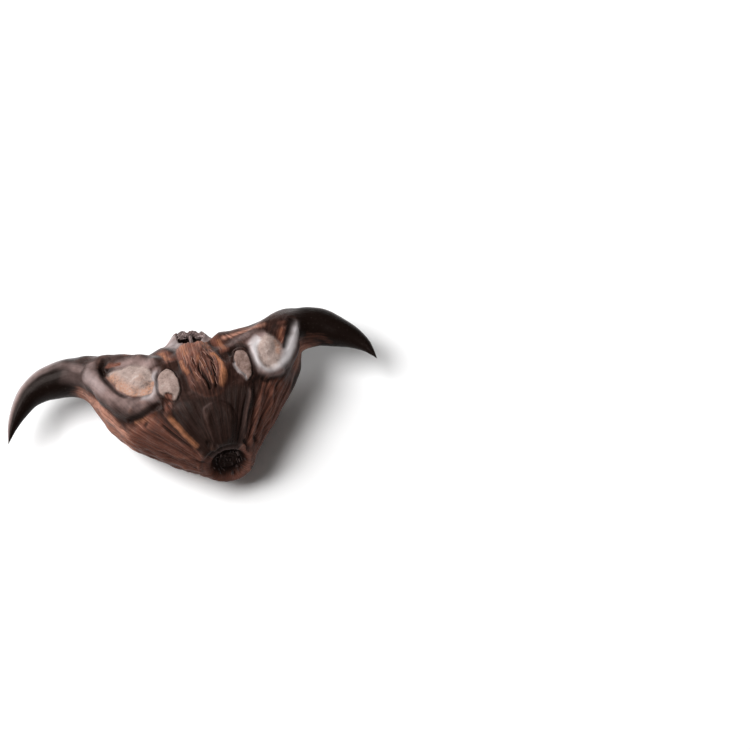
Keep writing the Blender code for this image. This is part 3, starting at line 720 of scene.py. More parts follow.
# Shares of painted shade in valleys, in grooves and pits, and of the dark mark with its painted
# shadows.
VALLEY_SHADE_SHARE = 0.66
GROOVE_SHADE_SHARE = 0.82
DARK_SHARE = 0.80
HUSK_ROUGHNESS = 0.31
ROUGH_MARKS = (("tan", 0.24), ("rust", 0.18), ("bloom", 0.06), ("dark", 0.22))
ROUGH_MOTTLE = (0.3, 0.7, -0.05, 0.07)
HUSK_SPECULAR = 0.07
HUSK_SPECULAR_TINT = (1.0, 0.86, 0.82, 1.0)
FIBRE_GRAIN = (0.0, 1.0, 0.25, 1.0)
PAD_GRIT = (0.0, 1.0, 0.12, 1.0)
HUSK_BUMP = {"Strength": 0.75, "Distance": 0.00018}

# The material of bristles and loose fibres.
FIBRE_MIX = (("tone", 0.7), ("speck", 0.3))
FIBRE_ROOT_DARK = 0.6
FIBRE_ROUGHNESS = 0.6
STUB_ROUGHNESS = 0.7
TORN_FIBRE_SHARE = 0.8
STUB_DARK_SHARE = 0.7
STUB_PALE_SHARE = 0.6
FIBRE_ROUGH_MOTTLE = (0.3, 0.7)
FIBRE_ROUGH_SPREAD = (0.06, 0.08)
FIBRE_BUMP = {"Strength": 0.35, "Distance": 0.00006}

# Stems that are bent into bristles, fibres and stubs: how wide each is from its root to its tip,
# the part that is dark at the root, and a direction that no stem runs along.
BRISTLE_WIDTHS = (1.0, 0.95, 0.8, 0.6, 0.4, 0.14)
FIBRE_WIDTHS = (0.35, 0.85, 1.0, 0.95, 0.8, 0.55, 0.2)
STUB_WIDTHS = (1.0, 0.95, 0.85, 0.7, 0.35)
STEM_ROOT = (0.0, 0.35)
STEM_SIDE = (0.31, 0.17, 0.94)

# Bristles of the crown: those that lean in from the far rim, and one in TUFT_EVERY that crosses the
# hollow. A turn is a middle and a spread, and other pairs are the least and the most.
BRISTLE_SEED = 41
BRISTLE_POINTS = 7
BRISTLE_THICKNESS = (0.6, 1.15)
BRISTLE_TONE = (0.3, 1.0)
BRISTLE_TURN = (0, 0.62)
BRISTLE_LEAN = (0.3, 1.5)
BRISTLE_RISE = (0.6, 1.45)
BRISTLE_SINK = 0.35
BRISTLE_ASIDE = (0, 0.10)
BRISTLE_FAR = (2.2, 2.95)
BRISTLE_FOOT = (0.7, 1.5)
TUFT_EVERY = 6
TUFT_TONE = (0.0, 0.45)
TUFT_START_TURN = (0.04, 0.10)
TUFT_START_FAR = 2.6
TUFT_START_HEIGHT = (0.9, 1.6)
TUFT_END_TURN = (-0.03, 0.08)
TUFT_END_FAR = (1.7, 2.5)
TUFT_END_HEIGHT = (0.2, 0.75)
TUFT_LIFT = (0.1, 0.5)

# Loose fibres on the shields of the face and the back.
STRAND_SEED = 23
STRAND_POINTS = 9
STRAND_THICKNESS = (0.6, 1.3)
STRAND_TONE = (0.0, 1.0)
STRAND_START_FACE = (-15.5, -6.2)
STRAND_START_BACK = (-8.5, -5.6)
STRAND_LENGTH = (1.6, 4.6)
STRAND_ACROSS = (-0.86, 0.86)
STRAND_DRIFT = (0, 0.07)
STRAND_WAVE = 0.02
STRAND_WAVE_TURNS = 9
STRAND_LIFT = (0.02, 0.16)
STRAND_SINK = 0.16
STRAND_ABOVE = 30.0
STRAND_EVENINGS = 3
BACK_STRANDS = 3

# Broken stubs in the stem scar.
STUB_SEED = 7
STUB_POINTS = 5
STUB_THICKNESS = (0.16, 0.34)
STUB_TONE = (0, 0.7)
STUB_FAR = 3.1
STUB_SPREAD = (0.02, 1)
STUB_FLOOR = -1.35
STUB_FLOOR_RISE = 1.1
STUB_FLOOR_EDGE = (1.6, 3.3)
STUB_LENGTH = (0.35, 0.95)
STUB_LEAN = (0.0, 0.25)

# The stage: the floor, the lights as place and size in metres, and the camera's clipping.
FLOOR_SIZE = 6.0
FLOOR_DROP = 0.01
FLOOR_TONES = ((0.3, (0.86, 0.86, 0.865)), (0.7, (0.88, 0.88, 0.88)))
FLOOR_ROUGHNESS = 0.7
FLOOR_SPECULAR = 0.2
KEY_LIGHT = ((-0.30, 0.06, 0.62), (0.45, 0.40))
RIM_LIGHT = ((-0.38, 0.52, 0.20), (0.50, 0.24))
ROOM_COLOUR = (1.0, 0.97, 0.94, 1.0)
CLIP_START_SHARE = 0.05
CLIP_END = 20.0

# The photograph's view: millimetres to a pixel, the pixel that the crown stands on, and the frame.
VIEW_SCALE = 0.193
VIEW_CROWN = (190.0, 333.0)
VIEW_FRAME = 750.0
SENSOR = 36.0


def through(places, values, at):
    """A smooth curve through the values that never overshoots them."""
    places = np.asarray(places, float)
    values = np.asarray(values, float)
    step = np.diff(places)
    rise = np.diff(values) / step
    slope = np.zeros(len(places))
    slope[0] = rise[0]
    slope[-1] = rise[-1]
    before = rise[:-1]
    after = rise[1:]
    same = before * after > 0
    first = (2 * step[1:] + step[:-1])[same]
    second = (step[1:] + 2 * step[:-1])[same]
    slope[1:-1][same] = (first + second) / (first / before[same] + second / after[same])
    i = np.clip(np.searchsorted(places, at, side="right") - 1, 0, len(step) - 1)
    t = (at - places[i]) / step[i]
    start = (2 * t**3 - 3 * t**2 + 1) * values[i] + (t**3 - 2 * t**2 + t) * step[i] * slope[i]
    end = (3 * t**2 - 2 * t**3) * values[i + 1] + (t**3 - t**2) * step[i] * slope[i + 1]
    return start + end


def along_table(table, at, column=1):
    """A column of a table at values of its first column, held at the table's ends."""
    table = np.array(table)
    at = np.clip(at, table[0, 0], table[-1, 0])
    return through(table[:, 0], table[:, column], at)


def smooth(low, high, value):
    """0 below low, 1 above high and an even passage between them."""
    t = np.clip((value - low) / (high - low), 0, 1)
    return t * t * (3 - 2 * t)


def bell(distance, reach):
    """1 at no distance, falling softly to 0 at the reach."""
    t = np.clip(1 - (distance / reach) ** 2, 0, 1)
    return t * t


def band(distance, ring):
    """1 at a band's middle, falling to 0 at its reach."""
    at, reach = ring
    return bell(distance - at, reach)


def blend(first, second, share):
    """From the first value to the second as the share goes from 0 to 1."""
    return first + (second - first) * share


def noise(points, size, seed):
    """Smooth random swells from -1 to 1, of about the given size."""
    table = np.random.default_rng(seed).uniform(-1, 1, NOISE_TABLE)
    cell = points / np.asarray(size, float)
    base = np.floor(cell).astype(np.int64)
    part = cell - base
    part = part * part * (3 - 2 * part)
    total = np.zeros(len(points))
    for corner in range(8):
        step = [corner & 1, corner >> 1 & 1, corner >> 2 & 1]
        key = (base + step) @ np.array(NOISE_PRIMES)
        share = np.prod(np.where(step, part, 1 - part), axis=1)
        total += table[(key ^ key >> NOISE_SHIFT) & (NOISE_TABLE - 1)] * share
    return total


def layered(points, size, seed, layers=3):
    """Noise with finer noise on top of it."""
    points = np.asarray(points)
    size = np.asarray(size, float)
    total = 0
    for k in range(layers):
        total = total + noise(points, size / 2**k, seed + k) / 2**k
    return total / (2 - 0.5 ** (layers - 1))


def section(place):
    """Centre x and y, lean, half height and half depth of the nut at places along it."""
    table = np.array(SECTIONS)
    return [through(table[:, 0], table[:, column], place) for column in range(1, 6)]


def in_body(place):
    """1 in the body and 0 in the horns."""
    return smooth(0, BODY_FADE, BODY_REACH - np.abs(place - BODY_MIDDLE))


def plain_skin(place, turn):
    """Points of the nut before its relief, for a place along it and a turn round it."""
    x, y, lean, half_height, half_depth = section(place)
    lean = np.radians(lean)
    up = np.sin(turn)
    out = np.cos(turn)
    low = np.where(out > 0, LOW_SHOULDER_FRONT, LOW_SHOULDER_BACK)
    return np.stack(
        [
            x + half_height * up * np.sin(lean),
            y + half_height * up * np.cos(lean),
            half_depth * out * (1 - low * in_body(place) * up),
        ],
        axis=-1,
    )


def outward(place, turn):
    """Unit directions square to the plain skin."""
    along = plain_skin(place + PLACE_STEP, turn) - plain_skin(place - PLACE_STEP, turn)
    around = plain_skin(place, turn + TURN_STEP) - plain_skin(place, turn - TURN_STEP)
    normal = np.cross(along, around)
    length = np.linalg.norm(normal, axis=1, keepdims=True)
    return normal / np.maximum(length, TINY)


def finer(path, pieces=5):
    """The path with more points, rounded at its corners."""
    path = np.asarray(path, float)
    knots = np.arange(len(path))
    at = np.linspace(0, len(path) - 1, (len(path) - 1) * pieces + 1)
    return np.column_stack([through(knots, path[:, k], at) for k in range(path.shape[1])])


def closed(outline, pieces=4):
    """A closed outline with more points, rounded at its corners."""
    here = np.asarray(outline, float)
    before = np.roll(here, 1, axis=0)
    after = np.roll(here, -1, axis=0)
    last = np.roll(here, -2, axis=0)
    rows = []
    for t in np.arange(pieces) / pieces:
        bend = 2 * before - 5 * here + 4 * after - last
        turn = -before + 3 * here - 3 * after + last
        rows.append(0.5 * (2 * here + (after - before) * t + bend * t**2 + turn * t**3))
    return np.stack(rows, axis=1).reshape(-1, 2)


def path_distance(points, path):
    """Distance from each point to the path, and how far along it that is, from 0 to 1."""
    best = np.full(len(points), np.inf)
    along = np.zeros(len(points))
    for k in range(len(path) - 1):
        leg = path[k + 1] - path[k]
        t = np.clip((points - path[k]) @ leg / max(leg @ leg, TINY), 0, 1)
        gap = np.linalg.norm(points - path[k] - t[:, None] * leg, axis=1)
        nearer = gap < best
        best[nearer] = gap[nearer]
        along[nearer] = (k + t[nearer]) / (len(path) - 1)
    return best, along


def round_by(angle, radius):
    """Coordinates round an axis, so that a noise has no seam there."""
    return np.column_stack([np.sin(angle), np.cos(angle)]) * radius


def on_face(path):
    """A path of x and y with its height over the middle plane."""
    path = np.asarray(path, float)
    _, y, _, half_height, half_depth = section(path[:, 0])
    up = np.clip((path[:, 1] - y) / half_height, -1, 1)
    return np.column_stack([path, half_depth * np.sqrt(1 - up**2)])


class Skin:
    """Points of the plain husk, on which marks are drawn and measured."""

    def __init__(self, place, turn):
        self.place = place
        self.turn = turn
        self.points = plain_skin(place, turn)
        self.normals = outward(place, turn)
        half_depth = section(place)[4]
        depth = half_depth * np.abs(np.cos(turn))
        self.face = np.column_stack([self.points[:, :2], depth])
        self.front = smooth(*FACE_SIDE, self.points[:, 2])
        self.shown = smooth(*SHOWN_SIDE, np.cos(turn))
        self.edge = smooth(*EDGE_CALM, np.abs(self.points[:, 2]))
        wander = [WANDER * layered(self.points, WANDER_SIZE, seed, 2) for seed in WANDER_SEEDS]
        self.loose = self.face + np.column_stack([*wander, np.zeros(len(place))])
        self.body = in_body(place)
        self.horn = 1 - self.body
        self.top = smooth(*TOP_SIDE, self.points[:, 1]) * self.body
        self.set_meridian()

    def set_meridian(self):
        """How far round the upright axis each point stands."""
        x, y, z = self.points.T
        wide = np.where(x < 0, along_table(EDGE_LEFT, y), along_table(EDGE_RIGHT, y))
        middle, half = MIDDLE_HEIGHT
        flat = np.clip(1 - ((y - middle) / half) ** 2, LEAST_DEPTH, 1)
        self.meridian = np.arctan2(x / wide, z / (MIDDLE_DEPTH * np.sqrt(flat)))

    def none(self):
        return np.zeros(len(self.place))

    def stroke(self, path, reach, ends=STROKE_ENDS, loose=False, reach_end=None):
        """1 on a path over the face, falling to 0 at its reach and at its two ends."""
        points = self.loose if loose else self.face
        line = on_face(finer(path))
        wide = max(reach, reach_end or 0)
        near = ((points > line.min(0) - wide) & (points < line.max(0) + wide)).all(axis=1)
        gap, along = path_distance(points[near], line)
        if reach_end is not None:
            reach = blend(reach, reach_end, along)
        fade = smooth(0, ends[0], along) * (1 - smooth(1 - ends[1], 1, along))
        value = self.none()
        value[near] = bell(gap, reach) * fade
        return value

    def patch(self, outline):
        """Distance to an outline on the face, positive inside it."""
        loop = closed(outline)
        flat = self.loose[:, :2]
        far = OUTLINE_FAR
        near = ((flat > loop.min(0) - far) & (flat < loop.max(0) + far)).all(axis=1)
        seen = flat[near]
        gap, _ = path_distance(seen, np.vstack([loop, loop[:1]]))
        ends = np.roll(loop, -1, axis=0)
        inside = np.zeros(len(seen), bool)
        for start, end in zip(loop, ends):
            between = (start[1] > seen[:, 1]) != (end[1] > seen[:, 1])
            rise = end[1] - start[1] or TINY
            cross = start[0] + (seen[:, 1] - start[1]) * (end[0] - start[0]) / rise
            inside ^= between & (seen[:, 0] < cross)
        value = np.full(len(flat), -far)
        value[near] = np.where(inside, gap, -np.minimum(gap, far))
        return value

    def spot(self, x, y, reach):
        """1 at a place on the face, falling to 0 at the reach."""
        return bell(np.hypot(self.face[:, 0] - x, self.face[:, 1] - y), reach)

    def ribbed(self):
        """1 on the lower body, where the ribs run, and 0 above it."""
        return smooth(*RIBS_EDGE, along_table(RIBS_BEGIN, self.loose[:, 0]) - self.loose[:, 1])

    def streaks(self, size, length, seed, layers=2):
        """Noise drawn out along the ribs."""
        points = np.column_stack([round_by(self.meridian, BODY_ROUND), self.points[:, 1]])
        return layered(points, (size, size, length), seed, layers)


def strokes(skin, table):
    """The strongest of several drawn strokes."""
    value = skin.none()
    for path, reach, strength in table:
        value = np.maximum(value, strength * skin.stroke(path, reach, loose=True))
    return value


def fold_relief(skin, sizes):
    """The thick folds and brows."""
    relief = skin.none()
    for path, height, reach in (
        (FOLD_LEFT, sizes.fold_height, FOLD_REACH),
        (FOLD_RIGHT, sizes.fold_height, FOLD_REACH),
        (BROW_LEFT, sizes.brow_height, BROW_REACH),
        (BROW_RIGHT, BROW_RIGHT_SHARE * sizes.brow_height, BROW_REACH),
    ):
        line = on_face(finer(path))
        gap, along = path_distance(skin.face, line)
        ends = smooth(*FOLD_START, along) * (1 - smooth(*FOLD_END, along) * FOLD_END_DROP)
        relief = np.maximum(relief, height / MM * bell(gap, reach) * ends)
    return relief


def rib_relief(skin):
    """Ribs and keels, with small knobs where the ribs meet the scar."""
    relief = skin.none()
    for path, height, reach in RIBS:
        line = on_face(finer(path))
        gap, along = path_distance(skin.face, line)
        rib = height * bell(gap, reach) * smooth(*RIB_START, along)
        knob = bell(np.linalg.norm(skin.face - line[-1], axis=1), RIB_KNOB_REACH)
        relief = np.maximum(relief, rib + RIB_KNOB * height * knob)
    for start, end in KEELS:
        place = np.linspace(start, end, KEEL_POINTS)
        line = plain_skin(place, np.full(len(place), -np.pi / 2))
        gap, along = path_distance(skin.points, line)
        keel = KEEL_HEIGHT * bell(gap, KEEL_REACH) * smooth(*KEEL_START, along)
        relief = np.maximum(relief, keel)
    return relief


def patch_relief(skin, sizes, marks):
    """The pads and ovals, each a rough cushion in a groove."""
    raised = skin.none()
    groove = skin.none()
    grain = layered(skin.points, *PAD_GRAIN)
    marks["tan"] = skin.none()
    marks["pale"] = np.ones(len(skin.place))
    marks["round_pad"] = skin.none()
    lower = smooth(*PAD_LOWER, skin.face[:, 1])
    for outline, height, dome, depth, reach, above, below, pale in PATCHES:
        inside = skin.patch(outline)
        soft = PAD_SOFTNESS * above if above > PAD_EDGE else above
        lift = height * smooth(-soft, soft, inside) + dome * smooth(*PAD_DOME, inside)
        lift = sizes.pad_height * lift + PAD_GRAIN_HEIGHT * grain * smooth(*PAD_GRAIN_EDGE, inside)
        raised = np.maximum(raised, lift * (inside > -soft))
        line = bell(inside + PATCH_GROOVE_OUT, reach)
        groove = np.maximum(groove, sizes.groove_depth * depth * line)
        # Painted shade in the groove round the patch.
        dark = line * min(1.0, depth * PATCH_GROOVE_SHADE)
        marks["groove"] = np.maximum(marks["groove"], dark)
        fade = blend(above, below, lower)
        low, high = TAN_EDGE
        shown = smooth(low * fade, high * fade, inside + TAN_RAGGED * soft * grain)
        marks["tan"] = np.maximum(marks["tan"], shown)
        marks["pale"] = np.where(inside > PATCH_PALE_OUT, pale, marks["pale"])
        if soft > PAD_EDGE:
            marks["round_pad"] = np.maximum(marks["round_pad"], smooth(*PAD_ROUND, inside))
    return raised - groove


def shield_relief(skin, sizes, marks):
    """The mound below the crown, torn into fibres."""
    inside = skin.patch(SHIELD)
    x, y, _ = skin.loose.T
    middle = along_table(FIBRE_LINES, y)
    half = along_table(FIBRE_LINES, y, 2)
    across = (x - middle) / half
    flow = np.column_stack([across * FIBRE_ACROSS, y * FIBRE_ALONG, skin.none()])
    coarse = FIBRE_COARSE_SHARE * layered(flow, *FIBRE_COARSE)
    fine = FIBRE_FINE_SHARE * layered(flow, *FIBRE_FINE)
    foot = 1 - SHIELD_FOOT_DROP * smooth(*SHIELD_FOOT, y)
    relief = SHIELD_HEIGHT * smooth(*SHIELD_RISE, inside) * foot
    relief += sizes.fibre_height / MM * smooth(*SHIELD_COVER, inside) * (coarse + fine)
    gash = strokes(skin, GASHES)
    marks["shield"] = smooth(*SHIELD_EDGE, inside)
    # Painted shade in the gashes.
    marks["groove"] = np.maximum(marks["groove"], np.clip(gash * GASH_SHADE, 0, 1))
    return relief - gash + strokes(skin, SHREDS)


def boss_relief(skin):
    """The long boss above the scar, with a thin rim."""
    inside = skin.patch(BOSS)
    rim = BOSS_RIM * band(inside, BOSS_RIM_BAND) * smooth(*BOSS_RIM_FADE, skin.face[:, 1])
    return BOSS_HEIGHT * smooth(*BOSS_RISE, inside) + rim


def cut_relief(skin, marks):
    """Deep grooves and pits, and the thin crests and hooks beside them."""
    relief = skin.none()
    for path, depth, reach, reach_end in GROOVES:
        cut = skin.stroke(path, reach, GROOVE_ENDS, reach_end=reach_end)
        relief = np.minimum(relief, -depth * cut)
        # Painted shade in the grooves and pits.
        marks["groove"] = np.maximum(marks["groove"], cut * min(1.0, depth * GROOVE_SHADE))
    for x, y, depth, reach in PITS:
        pit = skin.spot(x, y, reach)
        relief = np.minimum(relief, -depth * pit)
        marks["groove"] = np.maximum(marks["groove"], pit)
    raised = skin.none()
    for path, height, reach in LIPS + CRESTS:
        raised = np.maximum(raised, height * skin.stroke(path, reach))
    for x, y, height, reach in HOOKS:
        raised = np.maximum(raised, height * skin.spot(x, y, reach))
    marks["crest"] = np.clip(raised * CREST_PALE, 0, 1)
    torn = skin.stroke(TORN, TORN_REACH, TORN_ENDS, loose=True)
    marks["tan"] *= 1 - np.clip(TORN_BARE * torn, 0, 1)
    shreds = layered(skin.points, *TORN_NOISE)
    return relief + raised + torn * (TORN_RAGGED * shreds - TORN_DEPTH)


def sway(points):
    """Slow swells and hollows, so that no stretch of the skin is quite even."""
    x, y, z = points.T
    across = np.sin(SWAY_TURNS[0] * x + SWAY_LEANS[0] * z + SWAY_STARTS[0])
    down = np.sin(SWAY_TURNS[1] * y + SWAY_LEANS[1] * z + SWAY_STARTS[1])
    a, b, c = SWAY_SMALL_TURNS
    return SWAY * (across * down + SWAY_SMALL * np.sin(a * x + b * y + c * z))


def fine_relief(skin, sizes):
    """Thin ribs, wrinkles and grain of the whole skin."""
    ribbed = skin.ribbed() * skin.body
    bend = FINE_RIB_BEND * noise(skin.points, *FINE_RIB_BEND_NOISE)
    ribs = np.cos(FINE_RIBS * skin.meridian + bend) * FINE_RIB_SHARE
    ribs = ribs + FINE_RIB_STREAK * skin.streaks(*FINE_RIB_STREAKS)
    panel = bell(skin.meridian - PANEL_MIDDLE, PANEL_REACH) * (skin.points[:, 2] > 0)
    relief = sizes.fine_rib_height / MM * ribs * ribbed * (1 - PANEL_CALM * panel)
    share = LINE_BARE_SHARE + LINE_RIBBED_SHARE * ribbed
    relief += LINE_HEIGHT * skin.streaks(*LINE_STREAKS) * share * skin.body
    relief += WRINKLE_HEIGHT * layered(skin.points, *WRINKLES) * skin.body * (1 - ribbed)
    shown = 1 - BROW_LINE_SHOWN * skin.shown
    relief += BROW_LINE_HEIGHT * brow_streaks(skin) * skin.top * shown
    return relief


def husk_relief(skin, sizes):
    """How far each point is raised off the plain skin, and the marks on it, from 0 to 1."""
    # The groove mark is painted shade in grooves, gashes and pits.
    marks = {"groove": skin.none()}
    drawn = patch_relief(skin, sizes, marks) + shield_relief(skin, sizes, marks)
    drawn += boss_relief(skin) + cut_relief(skin, marks)
    x, y, depth, reach = PIT_LEFT
    drawn -= depth * skin.spot(x, y, reach)
    relief = drawn * skin.edge + fold_relief(skin, sizes) + rib_relief(skin) + sway(skin.points)
    top = smooth(*SADDLE_TOP, np.sin(skin.turn))
    for middle, reach, height in SADDLES:
        relief += height * bell(skin.points[:, 0] - middle, reach) * top
    off = np.hypot(skin.points[:, 0] - BACK_BULGE_AT[0], skin.points[:, 1] - BACK_BULGE_AT[1])
    calm = smooth(*BACK_CALM, off)
    back = 1 - skin.front
    relief *= skin.front + back * BACK_SHARE * calm
    fine = BACK_FINE + (1 - BACK_FINE) * calm
    relief += fine_relief(skin, sizes) * (skin.front + back * fine)
    within = BODY_REACH + HORN_OVERLAP - np.abs(skin.place - BODY_MIDDLE)
    return relief * smooth(*RELIEF_FADE, within), marks


def about_axis(points, at, axis):
    """Height along an axis, distance from it and the part of each point square to it."""
    axis = np.array(axis) / np.linalg.norm(axis)
    gap = points - np.array(at)
    height = gap @ axis
    flat = gap - height[:, None] * axis
    return axis, height, np.linalg.norm(flat, axis=1), flat


def crown_detail(wanted, turn, far, ring, tooth):
    """The collar's height with its ragged rim, its folds and its shoulder."""
    wall = smooth(CROWN_HOLLOW - CROWN_FACE_WALL, CROWN_RIM, far)
    face = smooth(*CROWN_FACE, np.sin(turn)) * wall
    ragged = CROWN_RAGGED_HEIGHT * layered(ring, *CROWN_RAGGED) - CROWN_TOOTH_WEAR * tooth
    folds = layered(ring, *CROWN_FOLDS) * band(far, CROWN_FOLD_BAND)
    low = CROWN_FRONT_DROP * face * (1 - smooth(CROWN_RIM, CROWN_FOOT, far))
    side = smooth(*CROWN_SIDE, -np.cos(turn - CROWN_SIDE_TURN)) * band(far, CROWN_SIDE_BAND)
    wanted = wanted + ragged * band(far, CROWN_RIM_BAND) + CROWN_FOLD_HEIGHT * folds
    return wanted - low + CROWN_SHOULDER * side


def crown_marks(marks, wanted, turn, far, ring, within, toward_face):
    """Painted shade in the hollow, the pale collar, and its left and right shoulders, which carry
    painted sheen and highlights.
    """
    # Painted shade in the hollow.
    marks["hollow"] = (1 - smooth(*HOLLOW_SHADE_EDGE, far)) * (1 - smooth(*HOLLOW_SHADE_DEPTH, wanted)) * within
    marks["collar"] = band(far, COLLAR_BAND) * within
    spokes = smooth(*COLLAR_SPOKE_EDGE, layered(ring, *COLLAR_SPOKES))
    spokes = COLLAR_SPOKE_LEAST + COLLAR_SPOKE_MORE * spokes
    facing = COLLAR_BACK_LEAST + COLLAR_BACK_MORE * smooth(*COLLAR_FACE, toward_face)
    within = within * spokes * facing
    left = smooth(*COLLAR_LEFT_SIDE, -np.cos(turn - COLLAR_TURN))
    right = smooth(*COLLAR_RIGHT_SIDE, np.cos(turn + COLLAR_TURN))
    marks["collar_left"] = band(far, COLLAR_LEFT_BAND) * left * within
    marks["collar_right"] = band(far, COLLAR_RIGHT_BAND) * right * within


def crown(points, marks=None):
    """The collar and hollow at the top of the nut, in full detail where marks are kept."""
    axis, height, far, flat = about_axis(points, CROWN_AT, CROWN_AXIS)
    turn = np.arctan2(flat[:, 2], flat[:, 0])
    tooth = CROWN_TOOTH * np.cos(CROWN_TEETH * turn + CROWN_TOOTH_SWING * np.sin(2 * turn))
    top = CROWN_HEIGHT + tooth
    slope = np.clip((CROWN_FOOT - far) / (CROWN_FOOT - CROWN_RIM), 0, 1) ** CROWN_SLOPE
    wall = smooth(CROWN_HOLLOW - CROWN_WALL, CROWN_RIM, far)
    inner = CROWN_FLOOR + (top - CROWN_FLOOR) * wall
    outer = top * slope - CROWN_FLARE * (far - CROWN_RIM) ** 2
    wanted = np.where(far < CROWN_RIM, inner, outer)
    within = smooth(*CROWN_WITHIN, height)
    share = (1 - smooth(CROWN_RIM + CROWN_MELT, CROWN_FOOT, far)) * within
    if marks is not None:
        ring = np.column_stack([np.cos(turn), np.sin(turn), height * CROWN_RING_DROP])
        wanted = crown_detail(wanted, turn, far, ring, tooth)
        crown_marks(marks, wanted, turn, far, ring, within, flat[:, 2])
    return points + ((wanted - height) * share)[:, None] * axis


def stem_scar(points, marks=None):
    """The ring and pit at the foot of the nut, in full detail where marks are kept."""
    axis, height, far, flat = about_axis(points, SCAR_AT, SCAR_AXIS)
    lip = SCAR_LIP * bell(far - 0.5 * (SCAR_RIM + SCAR_EDGE), SCAR_LIP_REACH)
    wanted = lip - SCAR_DEPTH * (1 - smooth(SCAR_PIT - SCAR_WALL, SCAR_RIM, far))
    within = smooth(*SCAR_WITHIN, height)
    share = (1 - smooth(SCAR_EDGE, SCAR_FOOT, far)) * within
    if marks is not None:
        turn = np.arctan2(flat[:, 2], flat[:, 0])
        ring = np.column_stack([np.cos(turn), np.sin(turn), far * SCAR_RING_DROP])
        ragged = SCAR_RAGGED_HEIGHT * layered(ring, *SCAR_RAGGED)
        wanted = wanted + ragged * band(far, SCAR_RAGGED_BAND)
        plug = SCAR_PLUG + SCAR_PLUG_WAVE * np.cos(far * SCAR_PLUG_TURNS)
        plug = plug + SCAR_PLUG_ROUGH * layered(flat, *SCAR_PLUG_NOISE)
        wanted = wanted + plug * (1 - smooth(*SCAR_PLUG_EDGE, far))
        # Painted shade deep in the pit.
        marks["pit"] = (1 - smooth(*SCAR_PIT_SHADE_EDGE, far)) * within
        marks["ring"] = band(far, SCAR_RING_BAND) * within
    return points + ((wanted - height) * share)[:, None] * axis


def rest_spot(points):
    """The bulge of the back, cut flat where the nut rests."""
    back = points[:, 2] < 0
    x, y = BACK_BULGE_AT
    wide, tall = BACK_BULGE_REACH
    off = np.hypot((points[:, 0] - x) / wide, (points[:, 1] - y) / tall)
    points[:, 2] -= BACK_BULGE * bell(off, 1.0) * back
    points[:, 2] = np.maximum(points[:, 2], -REST_DEPTH)
    return points


def horn_grain(skin):
    """Fine lines and shallow dents along the horns."""
    half = section(skin.place)[3]
    along = np.column_stack([round_by(skin.turn, HORN_ROUND), skin.place])
    lines = HORN_LINE_HEIGHT * layered(along, *HORN_LINES)
    dents = HORN_DENT_HEIGHT * noise(skin.points, *HORN_DENTS)
    return skin.horn * (lines + dents) * smooth(*HORN_TIP_CALM, half)


def brow_streaks(skin):
    """Long streaks over the top of the nut, from the crown to each horn, about -1 to 1."""
    return layered(skin.points * BROW_STRETCH, *BROW_NOISE)


def worn_sides(skin):
    """Rusty skin under the root of each horn, from 0 to 1."""
    worn = skin.none()
    for x, y, reach, strength in WORN_SIDES:
        off = (skin.points - (x, y, 0.0)) * (1.0, 1.0, WORN_DEPTH)
        worn = np.maximum(worn, strength * bell(np.linalg.norm(off, axis=1), reach))
    return np.clip(WORN_STRENGTH * worn, 0, 1)


def strongest(*values):
    """The strongest of several marks at each point."""
    return np.maximum.reduce(values)


def flanks(skin):
    """1 on the left and on the right flank of the lower body."""
    return smooth(*LEFT_FLANK, skin.meridian), smooth(*RIGHT_FLANK, skin.meridian)


def rust_mark(skin, marks, worn):
    """Red-brown fibre: strokes, both flanks, the shield, the collar, streaks and worn places."""
    left, right = flanks(skin)
    flank = np.clip(LEFT_FLANK_RUST * left + RIGHT_FLANK_RUST * right, 0, 1)
    flank = skin.ribbed() * skin.body * flank * (1 - marks["pit"])
    shoulders = np.clip(marks["collar_left"] + marks["collar_right"], 0, 1)
    collar = COLLAR_RUST * marks["collar"] * (1 - shoulders) * (skin.points[:, 2] > 0)
    streaks = TOP_RUST * skin.top * smooth(*TOP_RUST_EDGE, -brow_streaks(skin))
    streaks = streaks * (1 - TOP_RUST_SHOWN * skin.shown)
    pale = np.clip(PALE_RUST_STRENGTH * marks["pale_rust"], 0, 1)
    return strongest(strokes(skin, RUST_STROKES), flank, marks["shield"], collar, streaks, worn, pale)


def horn_sheen(skin):
    """Painted sheen on the outer side of both horns, and where the long horn begins."""
    up = np.sin(skin.turn)
    seen = HORN_HIDDEN + HORN_SEEN * smooth(*HORN_SEEN_SIDE, np.cos(skin.turn))
    long_tip = 1 - LONG_HORN_TIP_DROP * smooth(*LONG_HORN_TIP, skin.place)
    root = smooth(*LONG_HORN_ROOT, skin.place) * long_tip * seen
    short = SHORT_HORN_SHARE * smooth(*SHORT_HORN_ROOT, skin.place) * seen
    outer_long = root * smooth(*LONG_HORN_OUTER, up)
    outer = np.where(skin.place < 0, outer_long, short * smooth(*SHORT_HORN_OUTER, up))
    along = np.column_stack([round_by(skin.turn, HORN_ROUND), HORN_SHEEN_STRETCH * skin.place])
    outer = outer * (HORN_SHEEN_LEAST + HORN_SHEEN_SPOTS * layered(along, *HORN_SHEEN_NOISE))
    return outer, root


